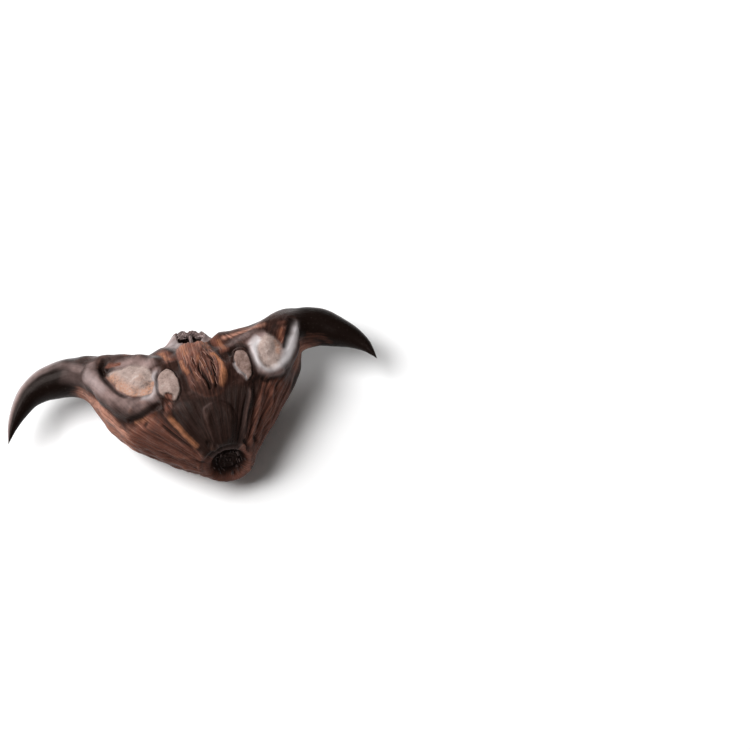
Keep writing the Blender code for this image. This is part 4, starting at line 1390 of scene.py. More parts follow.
def bloom_and_sheen_mark(skin, marks, outer):
    """Waxy bloom and painted sheen: strokes, the horns' painted sheen, crests, the top, the collar and
    its shoulders, the scar's ring and hooks.
    """
    streak = TOP_BLOOM_STREAK * brow_streaks(skin) * (1 - TOP_BLOOM_SHOWN * skin.shown)
    collar = COLLAR_LEFT_SHEEN * marks["collar_left"] + COLLAR_RIGHT_SHEEN * marks["collar_right"]
    bloom = strongest(
        strokes(skin, BLOOM_AND_SHEEN_STROKES),
        skin.horn * HORN_SHEEN * outer,
        marks["crest"] * CREST_BLOOM,
        skin.top * np.clip(TOP_BLOOM + streak, 0, TOP_BLOOM_MOST),
        COLLAR_BLOOM * marks["collar"] * (1 - marks["shield"]),
        collar + SCAR_RING_BLOOM * marks["ring"],
        strokes(skin, HOOK_TIPS) * skin.front,
    )
    return np.clip(bloom, 0, 1) * (1 - marks["hollow"]) * (1 - marks["pit"])


def painted_shine_mark(skin, marks, root):
    """Painted highlights: on the lips, the long horn's outer side and the collar."""
    horn = HORN_SHINE * skin.horn * root * smooth(*HORN_SHINE_OUTER, np.sin(skin.turn))
    collar = COLLAR_LEFT_SHINE * marks["collar_left"] + COLLAR_RIGHT_SHINE * marks["collar_right"]
    shine = strongest(strokes(skin, PAINTED_SHINE_STROKES), horn * (skin.place < 0), collar)
    return np.clip(shine, 0, 1)


def tint_mark(skin, marks):
    """How pale the red-brown fibre is."""
    left, right = flanks(skin)
    y = skin.points[:, 1]
    tint = TINT - TINT_LOW_DROP * smooth(*TINT_LOW, y) * left
    shield = TINT_SHIELD + TINT_SHIELD_MORE * smooth(*TINT_SHIELD_SIDE, y)
    tint = blend(tint, shield, marks["shield"])
    return TINT_SHARE * np.where(right > 0.5, TINT_RIGHT, tint) + marks["pale_rust"]


def dark_mark(skin, marks, orange):
    """The dark panel above the scar, painted shade in the hollow and the pit, the darker foot of the
    shield, and painted shadows with darker husk.
    """
    left, right = flanks(skin)
    panel = skin.ribbed() * skin.body * (1 - left) * (1 - right)
    shield = SHIELD_DARK * marks["shield"] * smooth(*SHIELD_DARK_SIDE, skin.loose[:, 1])
    drawn = strokes(skin, SHADOW_AND_DARK_STROKES)
    dark = strongest(PANEL_DARK * panel, marks["hollow"], marks["pit"], shield, drawn)
    return dark * (1 - DARK_UNDER_ORANGE * orange) * (1 - DARK_UNDER_SHINE * marks["shine"])


def colour_marks(skin, marks):
    """Where each colour, painted sheen, highlight and shade of the husk shows, from 0 to 1."""
    worn = worn_sides(skin)
    outer, root = horn_sheen(skin)
    marks["pale_rust"] = strongest(strokes(skin, PALE_RUST_STROKES), WORN_PALE * worn)
    marks["shine"] = painted_shine_mark(skin, marks, root)
    orange = strokes(skin, ORANGE_STROKES) * (1 - ORANGE_UNDER_SHINE * marks["shine"])
    bare_of_tan = 1 - RUST_UNDER_TAN * marks["tan"]
    bare_of_shine = 1 - RUST_UNDER_SHINE * marks["shine"]
    return {
        "rust": rust_mark(skin, marks, worn) * bare_of_tan * bare_of_shine,
        "orange": orange,
        "bloom": bloom_and_sheen_mark(skin, marks, outer),
        "shine": marks["shine"] * (1 - marks["hollow"]),
        "tint": tint_mark(skin, marks),
        "tan": marks["tan"],
        "pale": marks["pale"],
        "warm": strokes(skin, WARM_STROKES),
        "dark": dark_mark(skin, marks, orange),
        # Painted shade in grooves, gashes and pits.
        "groove": marks["groove"] * skin.edge * (1 - GROOVE_SHADE_UNDER_TAN * marks["tan"]),
        "horn": skin.horn,
        "fibre": strongest(marks["shield"], RIBBED_FIBRE * (skin.ribbed() * skin.body)),
    }


def grid_of(ball, rings, segments):
    """The ring and the segment that each point of the ball stands on."""
    ring = np.rint(np.arccos(np.clip(ball[:, 2], -1, 1)) / np.pi * rings).astype(int)
    part = np.arctan2(ball[:, 1], ball[:, 0]) / (2 * np.pi) % 1.0
    return ring, np.rint(part * segments).astype(int) % segments


def evened(values, ring, part, rings, segments, rounds):
    """The values spread out over their neighbours in the grid."""
    grid = np.zeros((rings + 1, segments))
    grid[ring, part] = values
    for pole in (0, rings):
        grid[pole] = values[ring == pole].mean()
    for _ in range(rounds):
        grid = (np.roll(grid, 1, 1) + 2 * grid + np.roll(grid, -1, 1)) / 4
        grid[1:-1] = (grid[:-2] + 2 * grid[1:-1] + grid[2:]) / 4
    return grid[ring, part]


def coordinates(mesh):
    """The mesh's points as rows of x, y and z."""
    values = np.empty(len(mesh.vertices) * 3)
    mesh.vertices.foreach_get("co", values)
    return values.reshape(-1, 3)


def set_coordinates(mesh, points):
    """Moves the mesh's points."""
    mesh.vertices.foreach_set("co", np.asarray(points, float).ravel())
    mesh.update()


def write_mark(mesh, name, values):
    """Keeps a number from 0 to 1 for each point, which the material reads."""
    layer = mesh.attributes.new(name, "FLOAT", "POINT")
    layer.data.foreach_set("value", np.clip(values, 0, 1).astype(np.float32))


def write_grain(mesh, skin):
    """Keeps coordinates that follow the ribs on the body and the length of the horns."""
    x, y, z = skin.points.T
    body = np.column_stack([round_by(skin.meridian, BODY_ROUND), y])
    horn = np.column_stack([round_by(skin.turn, HORN_ROUND) + GRAIN_HORN_SHIFT, skin.place])
    top = smooth(*GRAIN_TOP_SIDE, y) * skin.body
    along = np.column_stack([y * GRAIN_TOP_STRETCH + GRAIN_TOP_SHIFT, z, x])
    grain = blend(body, along, smooth(*GRAIN_TOP_EDGE, top)[:, None])
    grain = blend(grain, horn, smooth(*GRAIN_HORN_EDGE, skin.horn)[:, None])
    layer = mesh.attributes.new("grain", "FLOAT_VECTOR", "POINT")
    layer.data.foreach_set("vector", grain.astype(np.float32).ravel())


class Nodes:
    """Adds and joins the nodes of one material."""

    def __init__(self, name):
        self.material = bpy.data.materials.new(name)
        self.material.use_nodes = True
        self.tree = self.material.node_tree
        self.shader = self.tree.nodes["Principled BSDF"]

    def add(self, kind, inputs=(), **values):
        """A new node with its settings, and its inputs joined or set."""
        node = self.tree.nodes.new(kind)
        for key, value in values.items():
            setattr(node, key, value)
        for key, value in dict(inputs).items():
            self.put(node.inputs[key], value)
        return node

    def put(self, socket, value):
        """Joins the socket to a node's output, or sets it to a plain value."""
        if isinstance(value, bpy.types.NodeSocket):
            self.tree.links.new(value, socket)
        else:
            socket.default_value = value

    def surface(self, **values):
        """Joins or sets inputs of the shader, named with underscores for spaces."""
        for key, value in values.items():
            self.put(self.shader.inputs[key.replace("_", " ")], value)

    def place(self):
        """Where each point lies in the piece's own frame."""
        return self.add("ShaderNodeTexCoord").outputs["Object"]

    def mark(self, name, output="Fac"):
        """A mark kept on the mesh for each point."""
        return self.add("ShaderNodeAttribute", attribute_name=name).outputs[output]

    def noise(self, vector, scale, detail, roughness=0.6):
        values = {"Vector": vector, "Scale": scale, "Detail": detail, "Roughness": roughness}
        return self.add("ShaderNodeTexNoise", values).outputs["Fac"]

    def stretch(self, vector, scale):
        """Coordinates times a scale along each axis."""
        values = {"Vector": vector, "Scale": scale}
        return self.add("ShaderNodeMapping", values).outputs["Vector"]

    def math(self, operation, first, second, clamp=False):
        values = {0: first, 1: second}
        node = self.add("ShaderNodeMath", values, operation=operation, use_clamp=clamp)
        return node.outputs[0]

    def times(self, first, second):
        return self.math("MULTIPLY", first, second)

    def blend(self, values, shares):
        """The sum of several named values, each times its share."""
        total = None
        for name, share in shares:
            part = self.times(values[name], share)
            total = part if total is None else self.math("ADD", total, part)
        return total

    def span(self, value, low, high, start=0.0, end=1.0):
        """An even passage from start at low to end at high."""
        values = {"Value": value, "From Min": low, "From Max": high, "To Min": start, "To Max": end}
        return self.add("ShaderNodeMapRange", values).outputs["Result"]

    def ragged(self, mark, texture, share, edge):
        """A mark with its edge frayed by a texture."""
        frayed = self.math("ADD", self.mark(mark), self.times(texture, share))
        return self.span(frayed, *edge)

    def ramp(self, value, stops):
        """Colours at places along a value."""
        node = self.add("ShaderNodeValToRGB", {"Fac": value})
        line = node.color_ramp
        while len(line.elements) < len(stops):
            line.elements.new(0.5)
        for element, (place, colour) in zip(line.elements, stops):
            element.position = place
            element.color = (*colour, 1.0)
        return node.outputs["Color"]

    def tones(self, value, colours, tones):
        """A ramp of named colours, each times its share."""
        stops = [(place, scaled(getattr(colours, name), share)) for place, name, share in tones]
        return self.ramp(value, stops)

    def mix(self, share, first, second):
        """From the first colour to the second as the share goes from 0 to 1."""
        node = self.add("ShaderNodeMix", data_type="RGBA", blend_type="MIX")
        self.put(node.inputs[0], share)
        self.put(node.inputs[6], first)
        self.put(node.inputs[7], second)
        return node.outputs[2]

    def bump(self, values, height):
        """Fine relief in the shading."""
        node = self.add("ShaderNodeBump", {**values, "Height": height})
        self.surface(Normal=node.outputs["Normal"])


def rgb(colour):
    return tuple(colour)[:3]


def rgba(colour):
    return (*rgb(colour), 1.0)


def scaled(colour, factor):
    """The colour times a factor, and never above 1."""
    return tuple(min(1.0, c * factor) for c in rgb(colour))


def husk_textures(nodes):
    """The noises that the husk's colours and grain are made from."""
    grain = nodes.mark("grain", "Vector")
    place = nodes.place()
    return {
        "cloud": nodes.noise(place, *CLOUD),
        "blotch": nodes.noise(place, *BLOTCH),
        "speck": nodes.noise(place, *SPECK),
        "line": nodes.noise(nodes.stretch(grain, LINE_STRETCH), *LINE),
        "thread": nodes.noise(nodes.stretch(grain, THREAD_STRETCH), *THREAD),
    }


def bare_husk(nodes, colours, mixed):
    """Dark brown husk, darker still on the horns."""
    body = nodes.tones(mixed, colours, BARE_TONES)
    horn = nodes.tones(mixed, colours, HORN_TONES)
    return nodes.mix(nodes.mark("horn"), body, horn)


def bloom_sheen_and_highlights(nodes, colours, textures, mixed, colour):
    """Waxy bloom with painted sheen, and painted highlights over it."""
    wax = nodes.tones(textures["cloud"], colours, BLOOM_AND_SHEEN_TONES)
    amount = nodes.times(nodes.mark("bloom"), nodes.span(mixed, *BLOOM_AND_SHEEN_MOTTLE))
    colour = nodes.mix(amount, colour, wax)
    amount = nodes.times(nodes.mark("shine"), nodes.span(textures["cloud"], *SHINE_MOTTLE))
    return nodes.mix(amount, colour, rgba(colours.shine))


def rusty(nodes, colours, textures, colour):
    """Red-brown fibre with dull stretches."""
    tint = nodes.span(nodes.mark("tint"), *TINT_SPAN)
    fibre = nodes.math("ADD", nodes.blend(textures, RUST_MIX), tint)
    rust = nodes.tones(fibre, colours, RUST_TONES)
    amount = nodes.ragged("rust", textures["line"], RUST_FRAY, RUST_EDGE)
    dull = nodes.tones(textures["line"], colours, DULL_TONES)
    rust = nodes.mix(nodes.span(textures["blotch"], *DULL_MOTTLE), rust, dull)
    return nodes.mix(amount, colour, rust)


def torn_orange(nodes, colours, textures, colour):
    """Freshly torn orange fibre."""
    torn = nodes.blend(textures, TORN_MIX)
    orange = nodes.tones(torn, colours, ORANGE_TONES)
    amount = nodes.ragged("orange", torn, ORANGE_FRAY, ORANGE_EDGE)
    return nodes.mix(amount, colour, orange)


def scuffed_pads(nodes, colours, textures, colour):
    """Rough tan skin of the pads and ovals, warm in places and brown on the right oval."""
    mottle = nodes.blend(textures, PAD_MIX)
    tan = nodes.tones(mottle, colours, TAN_TONES)
    warm = nodes.tones(mottle, colours, WARM_TONES)
    amount = nodes.times(nodes.mark("warm"), nodes.span(textures["blotch"], *WARM_MOTTLE))
    tan = nodes.mix(amount, tan, warm)
    brown = nodes.tones(mottle, colours, BROWN_TONES)
    tan = nodes.mix(nodes.mark("pale"), brown, tan)
    amount = nodes.ragged("tan", textures["speck"], TAN_FRAY, TAN_CLEAR)
    return nodes.mix(amount, colour, tan)


def worn_and_painted_shade(nodes, colours, textures, colour):
    """Pale worn crests, painted shade in valleys, grooves and pits, and dark husk with painted shadows.
    """
    wear = nodes.times(nodes.mark("wear"), nodes.span(textures["speck"], *WEAR_SPECKS))
    colour = nodes.mix(wear, colour, rgba(colours.rust_pale))
    deep = rgba(colours.pit)
    # Painted shade in valleys, grooves and pits.
    colour = nodes.mix(nodes.times(nodes.mark("hollowed"), VALLEY_SHADE_SHARE), colour, deep)
    colour = nodes.mix(nodes.times(nodes.mark("groove"), GROOVE_SHADE_SHARE), colour, deep)
    dark = nodes.tones(textures["line"], colours, DARK_TONES)
    return nodes.mix(nodes.times(nodes.mark("dark"), DARK_SHARE), colour, dark)


def husk_colour(nodes, colours, textures):
    """The husk's colour: dark brown, with bloom, painted sheen and highlights, rust, orange fibre, tan
    scuffs and painted shade on it.
    """
    mixed = nodes.blend(textures, HUSK_MIX)
    colour = bare_husk(nodes, colours, mixed)
    colour = bloom_sheen_and_highlights(nodes, colours, textures, mixed, colour)
    colour = rusty(nodes, colours, textures, colour)
    colour = torn_orange(nodes, colours, textures, colour)
    colour = scuffed_pads(nodes, colours, textures, colour)
    return worn_and_painted_shade(nodes, colours, textures, colour)


def husk_material(colours):
    """Woody skin with a waxy bloom, painted sheen, highlights and shade, led by the marks that are kept
    on the mesh.
    """
    nodes = Nodes("husk_skin")
    textures = husk_textures(nodes)
    rough = nodes.blend({name: nodes.mark(name) for name, _ in ROUGH_MARKS}, ROUGH_MARKS)
    rough = nodes.math("ADD", rough, HUSK_ROUGHNESS)
    uneven = nodes.span(textures["cloud"], *ROUGH_MOTTLE)
    nodes.surface(
        Base_Color=husk_colour(nodes, colours, textures),
        Roughness=nodes.math("ADD", rough, uneven, clamp=True),
        Specular_IOR_Level=HUSK_SPECULAR,
        Specular_Tint=HUSK_SPECULAR_TINT,
    )
    fibres = nodes.times(textures["thread"], nodes.span(nodes.mark("fibre"), *FIBRE_GRAIN))
    grit = nodes.times(textures["speck"], nodes.span(nodes.mark("tan"), *PAD_GRIT))
    nodes.bump(HUSK_BUMP, nodes.math("ADD", fibres, grit))
    return nodes.material


def fibre_material(name, low, high, dark, roughness):
    """Thin plant fibre: its tone differs from fibre to fibre and darkens at the root."""
    nodes = Nodes(name)
    values = {"tone": nodes.mark("tone"), "speck": nodes.noise(nodes.place(), *FIBRE_SPECK)}
    stops = list(zip(FIBRE_PLACES, (rgb(dark), rgb(low), rgb(high))))
    colour = nodes.ramp(nodes.blend(values, FIBRE_MIX), stops)
    colour = nodes.mix(nodes.times(nodes.mark("root"), FIBRE_ROOT_DARK), colour, rgba(dark))
    less, more = FIBRE_ROUGH_SPREAD
    rough = nodes.span(values["speck"], *FIBRE_ROUGH_MOTTLE, roughness - less, roughness + more)
    nodes.surface(Base_Color=colour, Roughness=rough)
    nodes.bump(FIBRE_BUMP, values["speck"])
    return nodes.material


def deselect():
    if bpy.context.object and bpy.context.object.mode != "OBJECT":
        bpy.ops.object.mode_set(mode="OBJECT")
    bpy.ops.object.select_all(action="DESELECT")


def named(piece, name, material):
    """Gives the piece and its mesh a name, and the piece its one material."""
    piece.name = name
    piece.data.name = name
    piece.data.materials.clear()
    piece.data.materials.append(material)
    return piece


class HuskSizes(bpy.types.PropertyGroup):
    """Sizes of the husk."""

    rings: IntProperty(
        name="Rings", description="Divisions of the skin from horn to horn",
        default=330, min=60, max=330)
    segments: IntProperty(
        name="Segments", description="Divisions of the skin round each section",
        default=298, min=48, max=300)
    fold_height: FloatProperty(
        name="Fold height", description="How far the thick folds stand out",
        default=1.35 * MM, unit="LENGTH", precision=5)
    brow_height: FloatProperty(
        name="Brow height", description="How far the upper folds stand out",
        default=0.75 * MM, unit="LENGTH", precision=5)
    pad_height: FloatProperty(
        name="Pad height", description="Share of the height of pads and ovals",
        default=1.0, min=0.0, max=2.0, subtype="FACTOR")
    groove_depth: FloatProperty(
        name="Groove depth", description="Share of the depth of fine grooves",
        default=1.0, min=0.0, max=2.0, subtype="FACTOR")
    fibre_height: FloatProperty(
        name="Fibre height", description="Unevenness of the fibrous shield",
        default=0.34 * MM, unit="LENGTH", precision=5)
    fine_rib_height: FloatProperty(
        name="Fine rib height", description="Height of the thin ribs",
        default=0.11 * MM, unit="LENGTH", precision=5)


class HuskColours(bpy.types.PropertyGroup):
    """Colours of the husk."""

    husk_dark: FloatVectorProperty(
        name="Dark husk", description="The darkest stretches of bare husk",
        default=(0.0075, 0.0036, 0.0030), subtype="COLOR", size=3, min=0, max=1)
    husk_brown: FloatVectorProperty(
        name="Brown husk", description="The common brown of the bare husk",
        default=(0.027, 0.0125, 0.0095), subtype="COLOR", size=3, min=0, max=1)
    husk_mauve: FloatVectorProperty(
        name="Mauve husk", description="The paler stretches of bare husk",
        default=(0.062, 0.034, 0.030), subtype="COLOR", size=3, min=0, max=1)
    # Waxy bloom, which also paints sheen on the horns, folds, lips and collar.
    bloom: FloatVectorProperty(
        name="Bloom", description="Waxy bloom on folds and horns",
        default=(0.290, 0.200, 0.186), subtype="COLOR", size=3, min=0, max=1)
    # Painted highlights on the lips, folds, long horn and collar.
    shine: FloatVectorProperty(
        name="Shine", description="Palest wax on the lips, folds and long horn",
        default=(0.530, 0.502, 0.508), subtype="COLOR", size=3, min=0, max=1)
    rust: FloatVectorProperty(
        name="Rust", description="Red-brown fibre on the lower body and the shield",
        default=(0.130, 0.048, 0.032), subtype="COLOR", size=3, min=0, max=1)
    rust_pale: FloatVectorProperty(
        name="Pale rust", description="Worn crests of the red-brown fibre",
        default=(0.285, 0.140, 0.100), subtype="COLOR", size=3, min=0, max=1)
    orange: FloatVectorProperty(
        name="Orange fibre", description="Freshly torn fibre",
        default=(0.380, 0.155, 0.078), subtype="COLOR", size=3, min=0, max=1)
    tan: FloatVectorProperty(
        name="Pad", description="Rough skin of the pads and ovals",
        default=(0.345, 0.262, 0.232), subtype="COLOR", size=3, min=0, max=1)
    tan_warm: FloatVectorProperty(
        name="Warm pad", description="Warmer spots on the pads",
        default=(0.350, 0.175, 0.110), subtype="COLOR", size=3, min=0, max=1)
    tan_brown: FloatVectorProperty(
        name="Brown oval", description="Browner skin of the right oval",
        default=(0.175, 0.108, 0.092), subtype="COLOR", size=3, min=0, max=1)
    scuff: FloatVectorProperty(
        name="Scuff", description="Palest scuffs on crests and pads",
        default=(0.430, 0.365, 0.335), subtype="COLOR", size=3, min=0, max=1)
    bristle: FloatVectorProperty(
        name="Bristle", description="Lower part of the crown's bristles",
        default=(0.190, 0.125, 0.115), subtype="COLOR", size=3, min=0, max=1)
    bristle_tip: FloatVectorProperty(
        name="Bristle tip", description="Paler crown bristles",
        default=(0.480, 0.370, 0.355), subtype="COLOR", size=3, min=0, max=1)
    # Near-black of the horns, and the painted shade in pits, grooves, valleys and shadows.
    pit: FloatVectorProperty(
        name="Pit", description="Colour deep in pits and grooves",
        default=(0.007, 0.004, 0.003), subtype="COLOR", size=3, min=0, max=1)


class FibreSizes(bpy.types.PropertyGroup):
    """Bristles of the crown and loose fibres."""

    bristles: IntProperty(
        name="Bristles", description="Number of bristles in the crown",
        default=170, min=0, max=240)
    bristle_thickness: FloatProperty(
        name="Bristle thickness", description="Thickness at the root",
        default=0.22 * MM, unit="LENGTH", precision=5)
    strands: IntProperty(
        name="Strands", description="Number of loose fibres on each shield",
        default=58, min=0, max=160)
    strand_thickness: FloatProperty(
        name="Strand thickness", description="Thickness of a loose fibre",
        default=0.13 * MM, unit="LENGTH", precision=5)
    stubs: IntProperty(
        name="Stubs", description="Number of broken fibre ends in the stem scar",
        default=46, min=0, max=120)


class StudioSettings(bpy.types.PropertyGroup):
    """Camera and light."""

    lens: FloatProperty(
        name="Lens", description="Focal length in millimetres",
        default=150.0, min=35.0)
    elevation: FloatProperty(
        name="Elevation", description="Height of the view above the horizon",
        default=math.radians(62.0), subtype="ANGLE")
    roll: FloatProperty(
        name="Roll", description="Turn of the picture that lifts its right side",
        default=math.radians(15.84), subtype="ANGLE")
    key_power: FloatProperty(
        name="Key power", description="Power of the large soft light, in watts",
        default=6.9, min=0.0)
    rim_power: FloatProperty(
        name="Rim power", description="Power of the soft light behind, in watts",
        default=3.0, min=0.0)
    surround: FloatProperty(
        name="Surround", description="Brightness of the pale room",
        default=0.14, min=0.0)


class NUT_OT_husk(bpy.types.Operator):
    """Make the husk: the whole nut with its horns, folds, pads, shield, ribs, crown and scar"""

    bl_idname = "nut.husk"
    bl_label = "Husk"

    def execute(self, context):
        sizes = context.scene.nut_husk
        deselect()
        bpy.ops.mesh.primitive_uv_sphere_add(
            segments=sizes.segments, ring_count=sizes.rings, radius=1.0)
        husk = context.object
        ball = coordinates(husk.data)
        ring, part = grid_of(ball, sizes.rings, sizes.segments)
        place = along_table(RING_PLACES, ring / sizes.rings)
        turn = 2 * np.pi * part / sizes.segments
        turn = turn - FRONT_CROWDING * np.sin(turn)
        skin = Skin(place, turn)
        relief, marks = husk_relief(skin, sizes)
        points = skin.points + skin.normals * (relief + horn_grain(skin))[:, None]
        points = rest_spot(stem_scar(crown(points, marks), marks))
        origin = self.offset(skin)
        husk["crown_origin"] = [float(value) for value in origin]
        set_coordinates(husk.data, points * MM + origin)
        self.keep_marks(husk.data, skin, marks, relief, ring, part, sizes)
        self.roughen(husk)
        self.settle(husk.data)
        bpy.ops.object.shade_smooth()
        named(husk, "husk", husk_material(context.scene.nut_colours))
        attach(husk, "root")
        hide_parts(NODE)
        return {"FINISHED"}

    def offset(self, skin):
        """Brings the tables' origin, the crown, to its place in the frame."""
        bare = rest_spot(stem_scar(crown(skin.points)))
        low, high = (np.array(corner) for corner in NUT_BOX)
        middle = (low + high) / 2
        x = middle[0] - (bare[:, 0].min() + bare[:, 0].max()) / 2 * MM
        y = middle[1] - (bare[:, 1].min() + bare[:, 1].max()) / 2 * MM
        return np.array([x, y, low[2] + REST_DEPTH * MM])

    def keep_marks(self, mesh, skin, marks, relief, ring, part, sizes):
        """Keeps what the material reads: colours, painted shade in valleys, wear and the grain's
        coordinates.
        """
        for name, values in colour_marks(skin, marks).items():
            write_mark(mesh, name, values)
        spread = (ring, part, sizes.rings, sizes.segments)
        stand = relief - evened(relief, *spread, NARROW_ROUNDS)
        wide = relief - evened(relief, *spread, WIDE_ROUNDS)
        # Painted shade where the relief sinks below its evened-out self.
        hollowed = smooth(*NARROW_VALLEY, -stand) + WIDE_VALLEY_SHARE * smooth(*WIDE_VALLEY, -wide)
        factor, most = PALE_RUST_CLEARS
        pale = np.clip(factor * marks["pale_rust"], 0, most)
        hollowed *= (1 - PAD_CLEARS * marks["round_pad"]) * (1 - pale)
        factor, most = FOLD_ROOT_CLEARS
        hollowed *= 1 - np.clip(factor * skin.stroke(FOLD_ROOT, FOLD_ROOT_REACH), 0, most)
        write_mark(mesh, "hollowed", hollowed)
        worn = smooth(*CREST_WEAR, stand) * skin.body * (1 - WEAR_UNDER_SHINE * marks["shine"])
        write_mark(mesh, "wear", worn)
        write_grain(mesh, skin)

    def roughen(self, husk):
        """A faint grain all over the skin, from an applied displacement."""
        grit = bpy.data.textures.new("grit", "CLOUDS")
        grit.noise_scale = GRIT_SIZE * MM
        grit.noise_depth = GRIT_DEPTH
        bpy.ops.object.modifier_add(type="DISPLACE")
        push = husk.modifiers[-1]
        push.texture = grit
        push.texture_coords = "LOCAL"
        push.mid_level = 0.5
        push.strength = GRIT_HEIGHT * MM
        bpy.ops.object.modifier_apply(modifier=push.name)

    def settle(self, mesh):
        """Keeps the nut on the ground, its back flat where it rests."""
        points = coordinates(mesh)
        low = NUT_BOX[0].z
        points[:, 2] = np.where(points[:, 2] < low + SETTLE_HEIGHT * MM, low, points[:, 2])
        set_coordinates(mesh, points)


def skin_tree(husk):
    """A tree for finding places on the husk's skin."""
    points = coordinates(husk.data)
    faces = [tuple(face.vertices) for face in husk.data.polygons]
    return BVHTree.FromPolygons(points.tolist(), faces)


def crown_origin():
    """Where the tables' origin lies in the frame."""
    return np.array(bpy.data.objects["husk"]["crown_origin"])


def grow_stem(name, widths, sides=5):
    """A closed stem of unit height and radius along +Z, by extruding a small round face."""
    deselect()
    bpy.ops.mesh.primitive_circle_add(vertices=sides, radius=widths[0], fill_type="NGON")
    stem = bpy.context.object
    bpy.ops.object.mode_set(mode="EDIT")
    bpy.ops.mesh.select_all(action="SELECT")
    rise = 1.0 / (len(widths) - 1)
    for before, after in zip(widths, widths[1:]):
        bpy.ops.mesh.extrude_region_move(TRANSFORM_OT_translate={"value": (0, 0, rise)})
        share = after / before
        bpy.ops.transform.resize(value=(share, share, 1.0), center_override=(0, 0, 0))
    bpy.ops.mesh.select_all(action="SELECT")
    bpy.ops.mesh.normals_make_consistent(inside=False)
    bpy.ops.object.mode_set(mode="OBJECT")
    stem.name = name
    return stem


def lay_stem(stem, path, thickness, tone):
    """A copy of the stem bent along a path, with its own mesh."""
    copy = stem.copy()
    copy.data = stem.data.copy()
    bpy.context.scene.collection.objects.link(copy)
    points = coordinates(copy.data)
    path = np.asarray(path, float)
    share = np.linspace(0, 1, len(path))
    height = np.clip(points[:, 2], 0, 1)
    at = np.column_stack([np.interp(height, share, path[:, k]) for k in range(3)])
    slope = np.gradient(path, axis=0)
    ahead = np.column_stack([np.interp(height, share, slope[:, k]) for k in range(3)])
    ahead /= np.linalg.norm(ahead, axis=1, keepdims=True)
    side = np.cross(ahead, STEM_SIDE)
    side /= np.linalg.norm(side, axis=1, keepdims=True)
    over = np.cross(ahead, side)
    radius = thickness / 2
    set_coordinates(copy.data, at + radius * (points[:, :1] * side + points[:, 1:2] * over))
    write_mark(copy.data, "tone", np.full(len(points), tone))
    write_mark(copy.data, "root", 1 - smooth(*STEM_ROOT, height))
    return copy


def gather(stem, copies, name, material):
    """Joins the copies into one piece and throws the first stem away."""
    deselect()
    bpy.data.objects.remove(stem)
    for copy in copies:
        copy.select_set(True)
    bpy.context.view_layer.objects.active = copies[0]
    bpy.ops.object.join()
    piece = bpy.context.object
    bpy.ops.object.shade_smooth()
    named(piece, name, material)
    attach(piece, "root")
    return piece


def around(axis):
    """Two directions square to an axis: one mostly along x, one towards the face."""
    axis = np.array(axis) / np.linalg.norm(axis)
    first = np.array([1.0, 0, 0]) - axis[0] * axis
    first /= np.linalg.norm(first)
    second = np.cross(first, axis)
    if second[2] < 0:
        second = -second
    return axis, first, second


class NUT_OT_bristles(bpy.types.Operator):
    """Make the bristles that close over the hollow of the crown"""

    bl_idname = "nut.bristles"
    bl_label = "Crown bristles"

    def execute(self, context):
        sizes = context.scene.nut_fibres
        stem = grow_stem("bristle", BRISTLE_WIDTHS)
        rng = np.random.default_rng(BRISTLE_SEED)
        copies = []
        for k in range(sizes.bristles):
            tuft = k % TUFT_EVERY == 0
            path = crown_origin() + (self.across(rng) if tuft else self.back(rng)) * MM
            thick = sizes.bristle_thickness * rng.uniform(*BRISTLE_THICKNESS)
            tone = rng.uniform(*(TUFT_TONE if tuft else BRISTLE_TONE))
            copies.append(lay_stem(stem, path, thick, tone))
        colours = context.scene.nut_colours
        material = fibre_material(
            "crown_bristle", colours.bristle, colours.bristle_tip, colours.pit, FIBRE_ROUGHNESS)
        gather(stem, copies, "crown_bristles", material)
        return {"FINISHED"}

    def place(self, turn, far, height):
        """A point about the crown's axis."""
        axis, first, second = around(CROWN_AXIS)
        flat = far * (np.cos(turn) * first + np.sin(turn) * second)
        return np.array(CROWN_AT) + flat + height * axis

    def back(self, rng):
        """A bristle that stands on the far rim and leans in over the hollow."""
        turn = -np.pi / 2 + rng.normal(*BRISTLE_TURN)
        lean = rng.uniform(*BRISTLE_LEAN)
        rise = rng.uniform(*BRISTLE_RISE) - BRISTLE_SINK * lean
        aside = rng.normal(*BRISTLE_ASIDE)
        far = rng.uniform(*BRISTLE_FAR)
        low = rng.uniform(*BRISTLE_FOOT)
        return np.array([self.place(turn + aside * t, far - lean * t * t, low + rise * t)
                         for t in np.linspace(0, 1, BRISTLE_POINTS)])

    def across(self, rng):
        """A bristle of the tuft that crosses the hollow and divides it in two."""
        turn = -np.pi / 2 + rng.normal(*TUFT_START_TURN)
        start = self.place(turn, TUFT_START_FAR, rng.uniform(*TUFT_START_HEIGHT))
        turn = np.pi / 2 + rng.normal(*TUFT_END_TURN)
        end = self.place(turn, rng.uniform(*TUFT_END_FAR), rng.uniform(*TUFT_END_HEIGHT))
        lift = self.place(0, 0, 1)[None] - self.place(0, 0, 0)[None]
        t = np.linspace(0, 1, BRISTLE_POINTS)[:, None]
        return start + (end - start) * t + lift * (rng.uniform(*TUFT_LIFT) * np.sin(np.pi * t))


